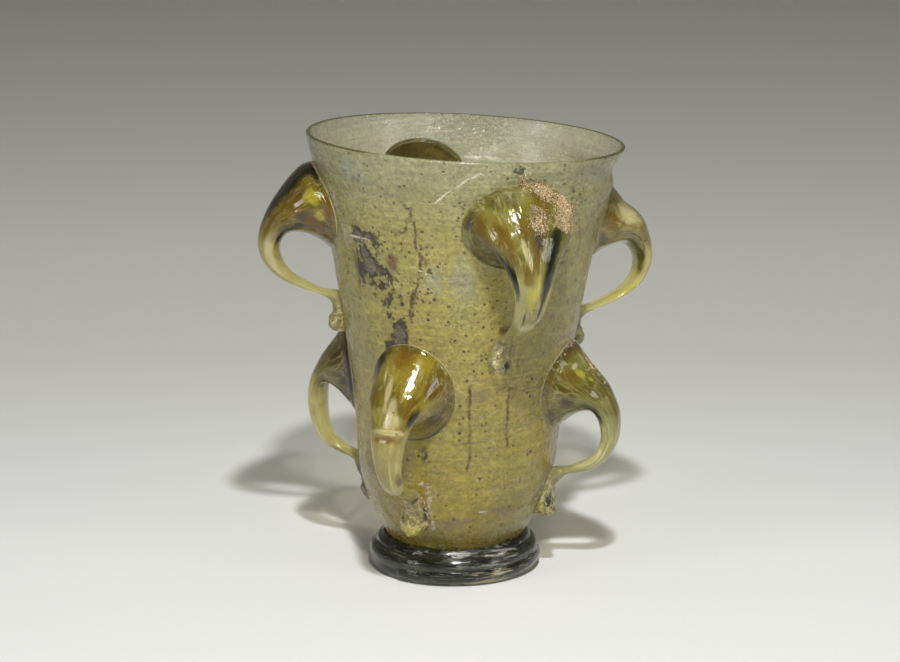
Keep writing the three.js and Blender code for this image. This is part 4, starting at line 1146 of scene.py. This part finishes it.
def buildFoot(material):
    # A thread wound round the neck and fused: a spiral tube and a core ring become one skin
    s = footSizes
    columns, neck, gap = s["columns"], vessel["neckRadius"], s["gap"]
    outer = [(neck + s["overhang"] * r - s["coreInset"], neckZ * h) for h, r in footShares]
    under = undersideOutline[undersideOutline[:, 0] > s["bore"]]
    inner = [(r + gap, z) for r, z in under[::-s["underStep"]]]
    inner += [(s["bore"], s["chamfer"]), (s["bore"] + s["chamferIn"], 0)]
    ring = outer + [(neck + gap, neckZ * s["coreTop"])] + inner
    count = len(ring)
    points = [(r * math.cos(t), r * math.sin(t), z) for t in np.arange(columns) * 2 * math.pi / columns
              for r, z in ring]
    faces = [(k * count + i, n * count + i, n * count + (i + 1) % count, k * count + (i + 1) % count)
             for k in range(columns) for n in [(k + 1) % columns] for i in range(count)]
    piece = addMesh("woundFoot", points, facesOut(points, faces), None, material)

    n = Maker("windFoot", {
        "Turns": s["turns"], "Base Radius": s["baseRadius"] * mm, "Top Radius": s["topRadius"] * mm,
        "Climb": s["climb"] * mm, "Start Height": s["startHeight"] * mm, "Thread Base": s["threadBase"] * mm,
        "Thread Top": s["threadTop"] * mm, "Voxel": s["voxel"] * mm, "Wobble": s["wobble"] * mm,
        "Draw In": s["drawIn"]})
    given = n.given
    spiral = n.node("GeometryNodeCurveSpiral", {
        "Resolution": s["steps"], "Rotations": given["Turns"], "Start Radius": given["Base Radius"],
        "End Radius": given["Base Radius"], "Height": given["Climb"], "Reverse": True})
    way = n.node("GeometryNodeSplineParameter").outputs["Factor"]

    def upward(low, high):
        # From one value to another over the part of the thread that is drawn in
        return n.span(way, given["Draw In"], 1.0, low, high, "LINEAR")

    inward = upward(1.0, n.calc("DIVIDE", given["Top Radius"], given["Base Radius"]))
    squeeze = n.node("ShaderNodeCombineXYZ", {0: inward, 1: inward, 2: 1.0}).outputs[0]
    drawn = n.vector("MULTIPLY", n.node("GeometryNodeInputPosition"), squeeze)
    shaped = n.node("GeometryNodeSetPosition", {"Geometry": spiral, "Position": drawn})
    raised = n.node("GeometryNodeTransform", {
        "Geometry": shaped, "Translation": n.node("ShaderNodeCombineXYZ", {2: given["Start Height"]}),
        "Rotation": (0, 0, math.radians(s["startTurn"]))})
    wobble = n.node("ShaderNodeTexNoise", {"Scale": s["wobbleScale"], "Detail": 2.0}).outputs["Fac"]
    wobble = n.times(n.calc("SUBTRACT", wobble, 0.5), given["Wobble"])
    radius = n.calc("ADD", upward(given["Thread Base"], given["Thread Top"]), wobble)
    section = n.node("GeometryNodeCurvePrimitiveCircle", {"Resolution": s["sides"], "Radius": 1.0})
    sized = n.node("GeometryNodeSetCurveRadius", {"Curve": raised, "Radius": radius})
    sweep = n.node("GeometryNodeCurveToMesh", {"Curve": sized, "Profile Curve": section, "Fill Caps": True})
    if "Scale" in sweep.inputs:
        n.feed(sweep.inputs["Scale"], radius)
    joined = n.node("GeometryNodeJoinGeometry", {0: given["Geometry"]})
    n.feed(joined.inputs[0], sweep)
    volume = n.node("GeometryNodeMeshToVolume", {
        "Mesh": joined, "Voxel Size": given["Voxel"], "Interior Band Width": s["band"] * mm},
        resolution_mode="VOXEL_SIZE")
    skin = n.node("GeometryNodeVolumeToMesh", {
        "Volume": volume, "Voxel Size": given["Voxel"], "Threshold": s["threshold"], "Adaptivity": 0.0},
        resolution_mode="VOXEL_SIZE")
    blurred = n.node("GeometryNodeBlurAttribute", {
        "Value": n.node("GeometryNodeInputPosition"), "Iterations": s["smoothing"]}, data_type="FLOAT_VECTOR")
    split = n.node("ShaderNodeSeparateXYZ", {0: blurred}).outputs
    kept = n.node("ShaderNodeCombineXYZ", {0: split[0], 1: split[1], 2: n.most(split[2], 0.0)})
    worn = n.node("GeometryNodeSetPosition", {"Geometry": skin, "Position": kept})
    return n.run(piece, n.node("GeometryNodeSetShadeSmooth", {"Geometry": worn}), material)


soilGrains = {
    "density": 9e6, "smallest": 0.08, "largest": 0.24, "least": -0.3, "clumping": 3.0, "clumpScale": 420.0,
    "bare": -0.1, "full": 0.8, "flattest": 0.6, "longest": 1.2, "turn": 6.28, "seed": 7, "shapeSeed": 3,
    "toneSeed": 11,
}


def makeSoil():
    m = Skin("drySoil", **{"Roughness": 0.95, "Specular IOR Level": 0.2})
    tone = m.plus(m.times(m.field("tone"), 0.6), m.group(sandGroup, m.place, Scale=2.2), 0.4)
    m.base = m.ramp(tone, soilTones)
    return m.finish(None, m.noise(m.place, 6.0, 3.0), 0.4, 0.2)


def buildSoil(carriers, material):
    # Grains of dry soil scattered over the crusted faces of the finished pieces
    g = soilGrains
    points, faces, dirt = [], [], []
    for carrier in carriers:
        mesh = carrier.data
        crust = np.zeros(len(mesh.vertices))
        mesh.attributes["crust"].data.foreach_get("value", crust)
        first = sum(len(q) for q in points)
        for face in mesh.polygons:
            if crust[list(face.vertices)].mean() > g["least"]:
                faces.append(tuple(first + v for v in face.vertices))
        points.append(vertexPlaces(mesh))
        dirt.append(np.clip(crust, -1, 1))
    used, faces = onlyUsed(sum(len(q) for q in points), faces)
    fields = {"crust": np.concatenate(dirt)[used]}
    piece = addMesh("soilGrains", np.concatenate(points)[used], faces, fields, material)
    n = Maker("scatterSoil", {
        "Density": g["density"], "Smallest": g["smallest"] * mm, "Largest": g["largest"] * mm,
        "Seed": g["seed"]})
    given = n.given

    def drawn(kind, output, inputs):
        return n.node("FunctionNodeRandomValue", inputs, data_type=kind).outputs[output]

    crust = n.node("GeometryNodeInputNamedAttribute", {"Name": "crust"}, data_type="FLOAT").outputs[0]
    clumps = n.node("ShaderNodeTexNoise", {"Scale": g["clumpScale"], "Detail": 2.0}).outputs[0]
    crust = n.plus(crust, n.calc("SUBTRACT", clumps, 0.5), g["clumping"])
    scattered = n.node("GeometryNodeDistributePointsOnFaces", {
        "Mesh": given["Geometry"], "Seed": given["Seed"],
        "Density": n.times(n.span(crust, g["bare"], g["full"], kind="LINEAR"), given["Density"])})
    grain = n.node("GeometryNodeMeshIcoSphere", {"Radius": 1.0, "Subdivisions": 1})
    size = drawn("FLOAT", 1, {2: given["Smallest"], 3: given["Largest"], 8: given["Seed"]})
    turned = drawn("FLOAT_VECTOR", 0, {0: (0.0,) * 3, 1: (g["turn"],) * 3, 8: given["Seed"]})
    uneven = drawn("FLOAT_VECTOR", 0, {0: (g["flattest"],) * 3, 1: (g["longest"],) * 3, 8: g["shapeSeed"]})
    placed = n.node("GeometryNodeInstanceOnPoints", {
        "Points": scattered, "Instance": grain, "Rotation": turned, "Scale": n.vector("SCALE", uneven, size)})
    toned = n.node("GeometryNodeStoreNamedAttribute", {
        "Geometry": placed, "Name": "tone", "Value": drawn("FLOAT", 1, {2: 0.0, 3: 1.0, 8: g["toneSeed"]})},
        data_type="FLOAT", domain="INSTANCE")
    return n.run(piece, toned, material)


print("stage: building pieces")
body = buildBody(makeWallGlass())
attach(body, rootBody)
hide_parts("blown_body")

clawGlass = {finish: makeClawGlass(finish) for finish in clawGlassLooks}
carriers = [body]
for nodeName in claws:
    claw = buildClaw(nodeName, clawGlass[clawLooks[nodeName]["finish"]])
    carriers.append(claw)
    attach(claw, rootBody)
    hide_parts(nodeName)

foot = buildFoot(makeFootGlass())
co = vertexPlaces(foot.data)
footAzimuth = np.degrees(np.arctan2(co[:, 0], -co[:, 1]))
for key, patches in footMarks.items():
    values = patchField(footAzimuth, co[:, 2], patches).astype(np.float32)
    foot.data.attributes.new(key, "FLOAT", "POINT").data.foreach_set("value", values)
foot.data.vertices.foreach_set("co", (settle(co) * mm).ravel())
foot.data.update()
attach(foot, rootBody)
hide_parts("coiled_foot")
soil = buildSoil(carriers, makeSoil())
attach(soil, rootBody)

# The camera stands as the photograph's did
view = {
    "azimuth": -18, "distance": 1250, "height": 389.36, "pitch": -13.427, "yaw": 0.071, "lens": 136.82,
    "sensor": 36,
}
cameraData = bpy.data.cameras.new("camera")
cameraData.lens = view["lens"]
cameraData.sensor_width = view["sensor"]
camera = bpy.data.objects.new("camera", cameraData)
turn = math.radians(view["azimuth"])
camera.location = ((footAxis[0] + view["distance"] * math.sin(turn)) * mm,
                   (footAxis[1] - view["distance"] * math.cos(turn)) * mm, view["height"] * mm)
camera.rotation_euler = (math.radians(90 + view["pitch"]), 0, turn + math.radians(view["yaw"]))
bpy.context.scene.collection.objects.link(camera)
bpy.context.scene.camera = camera

studio = {
    "keyAzimuth": 3.6, "keyElevation": 51, "keyDistance": 1.15, "keySize": 0.055, "keyPower": 15.4,
    "topElevation": 89, "topSize": 1.6, "topHeight": 1.7, "topPower": 4.2, "world": 0.064,
    "leftAzimuth": -58, "leftPower": 2.8, "rightAzimuth": 62, "rightPower": 1.9,
    "sideElevation": 22, "sideDistance": 1.5, "sideSize": 0.4, "near": -100, "far": 1900,
}
# Painted light falloff: tone of the paper at shares of the way from near to far behind the vessel
sweepPaintedFalloff = [
    (0, 0.645), (0.06, 0.69), (0.13, 0.67), (0.22, 0.645), (0.335, 0.735), (0.49, 0.765), (0.7, 0.795),
    (1, 0.81),
]
# Share of blue on the near and on the far part of the paper, part of the painted light falloff, and where the
# far part starts
sweepBlue = {"near": 0.97, "far": 0.9, "from": 0.2}
# The table's rings out to its edge, then a curve up into the backdrop, in millimetres
sweepSizes = {"rings": (150, 400, 900, 1500), "edge": 2200, "curve": 900, "top": 3200, "columns": 96}


def addLamp(name, azimuth, elevation, distance, size, power, aim=(0, 0, 0.08)):
    data = bpy.data.lights.new(name, "AREA")
    data.shape = "DISK"
    data.size = size
    data.energy = power
    lamp = bpy.data.objects.new(name, data)
    a, e = math.radians(azimuth + view["azimuth"]), math.radians(elevation)
    lamp.location = (distance * math.sin(a) * math.cos(e), -distance * math.cos(a) * math.cos(e),
                     distance * math.sin(e))
    direction = np.array(aim) - np.array(lamp.location)
    lamp.rotation_euler = (math.pi / 2 + math.atan2(direction[2], math.hypot(*direction[:2])), 0,
                           math.atan2(-direction[0], direction[1]))
    bpy.context.scene.collection.objects.link(lamp)


addLamp("key", *[studio["key" + key] for key in ("Azimuth", "Elevation", "Distance", "Size", "Power")])
addLamp("top", 0, studio["topElevation"], studio["topHeight"], studio["topSize"], studio["topPower"])
for side in ("left", "right"):
    addLamp(side, studio[side + "Azimuth"], studio["sideElevation"], studio["sideDistance"], studio["sideSize"],
            studio[side + "Power"])
world = bpy.data.worlds.new("studio")
world.use_nodes = True
background = world.node_tree.nodes["Background"].inputs
background[0].default_value = (1, 1, 1, 1)
background[1].default_value = studio["world"]
bpy.context.scene.world = world
bpy.context.scene.view_settings.view_transform = "Standard"


def buildSweep():
    # A pale table that runs back and curves up into a backdrop on every side
    s, b = sweepSizes, sweepBlue
    m = Skin("sweepPaper", **{"Roughness": 0.6, "Specular IOR Level": 0.15})
    away = m.node("ShaderNodeVectorMath", {0: m.place, 1: (-math.sin(turn), math.cos(turn), 0)},
                  operation="DOT_PRODUCT").outputs["Value"]
    # Painted light: the paper's tone and blue share change with distance, standing in for the fall of the light
    m.base = m.ramp(m.span(away, studio["near"], studio["far"], kind="LINEAR"), [
        (place, (v, v, v * b["far" if place > b["from"] else "near"])) for place, v in sweepPaintedFalloff])
    m.shade(m.noise(m.place, 0.4, 4.0), [(0, (0.985,) * 3), (1, (1.015,) * 3)])
    m.feed(m.shader.inputs["Base Color"], m.base)
    rings = [(r, 0) for r in s["rings"] + (s["edge"],)]
    rings += [(s["edge"] + s["curve"] * math.sin(t), s["curve"] * (1 - math.cos(t)))
              for t in np.linspace(0.15, math.pi / 2, 10)]
    rings += [(s["edge"] + s["curve"], s["top"])]
    columns = s["columns"]
    points = [(0, 0, 0)] + [(r * math.cos(t), r * math.sin(t), z) for r, z in rings
                            for t in np.arange(columns) * 2 * math.pi / columns]
    faces = [(0, 1 + k, 1 + (k + 1) % columns) for k in range(columns)]
    for low in range(1, 1 + (len(rings) - 1) * columns, columns):
        high = low + columns
        faces += [(low + k, high + k, high + n, low + n) for k in range(columns) for n in [(k + 1) % columns]]
    return addMesh("sweep", points, faces, None, m.material)


buildSweep()

print("stage: done")
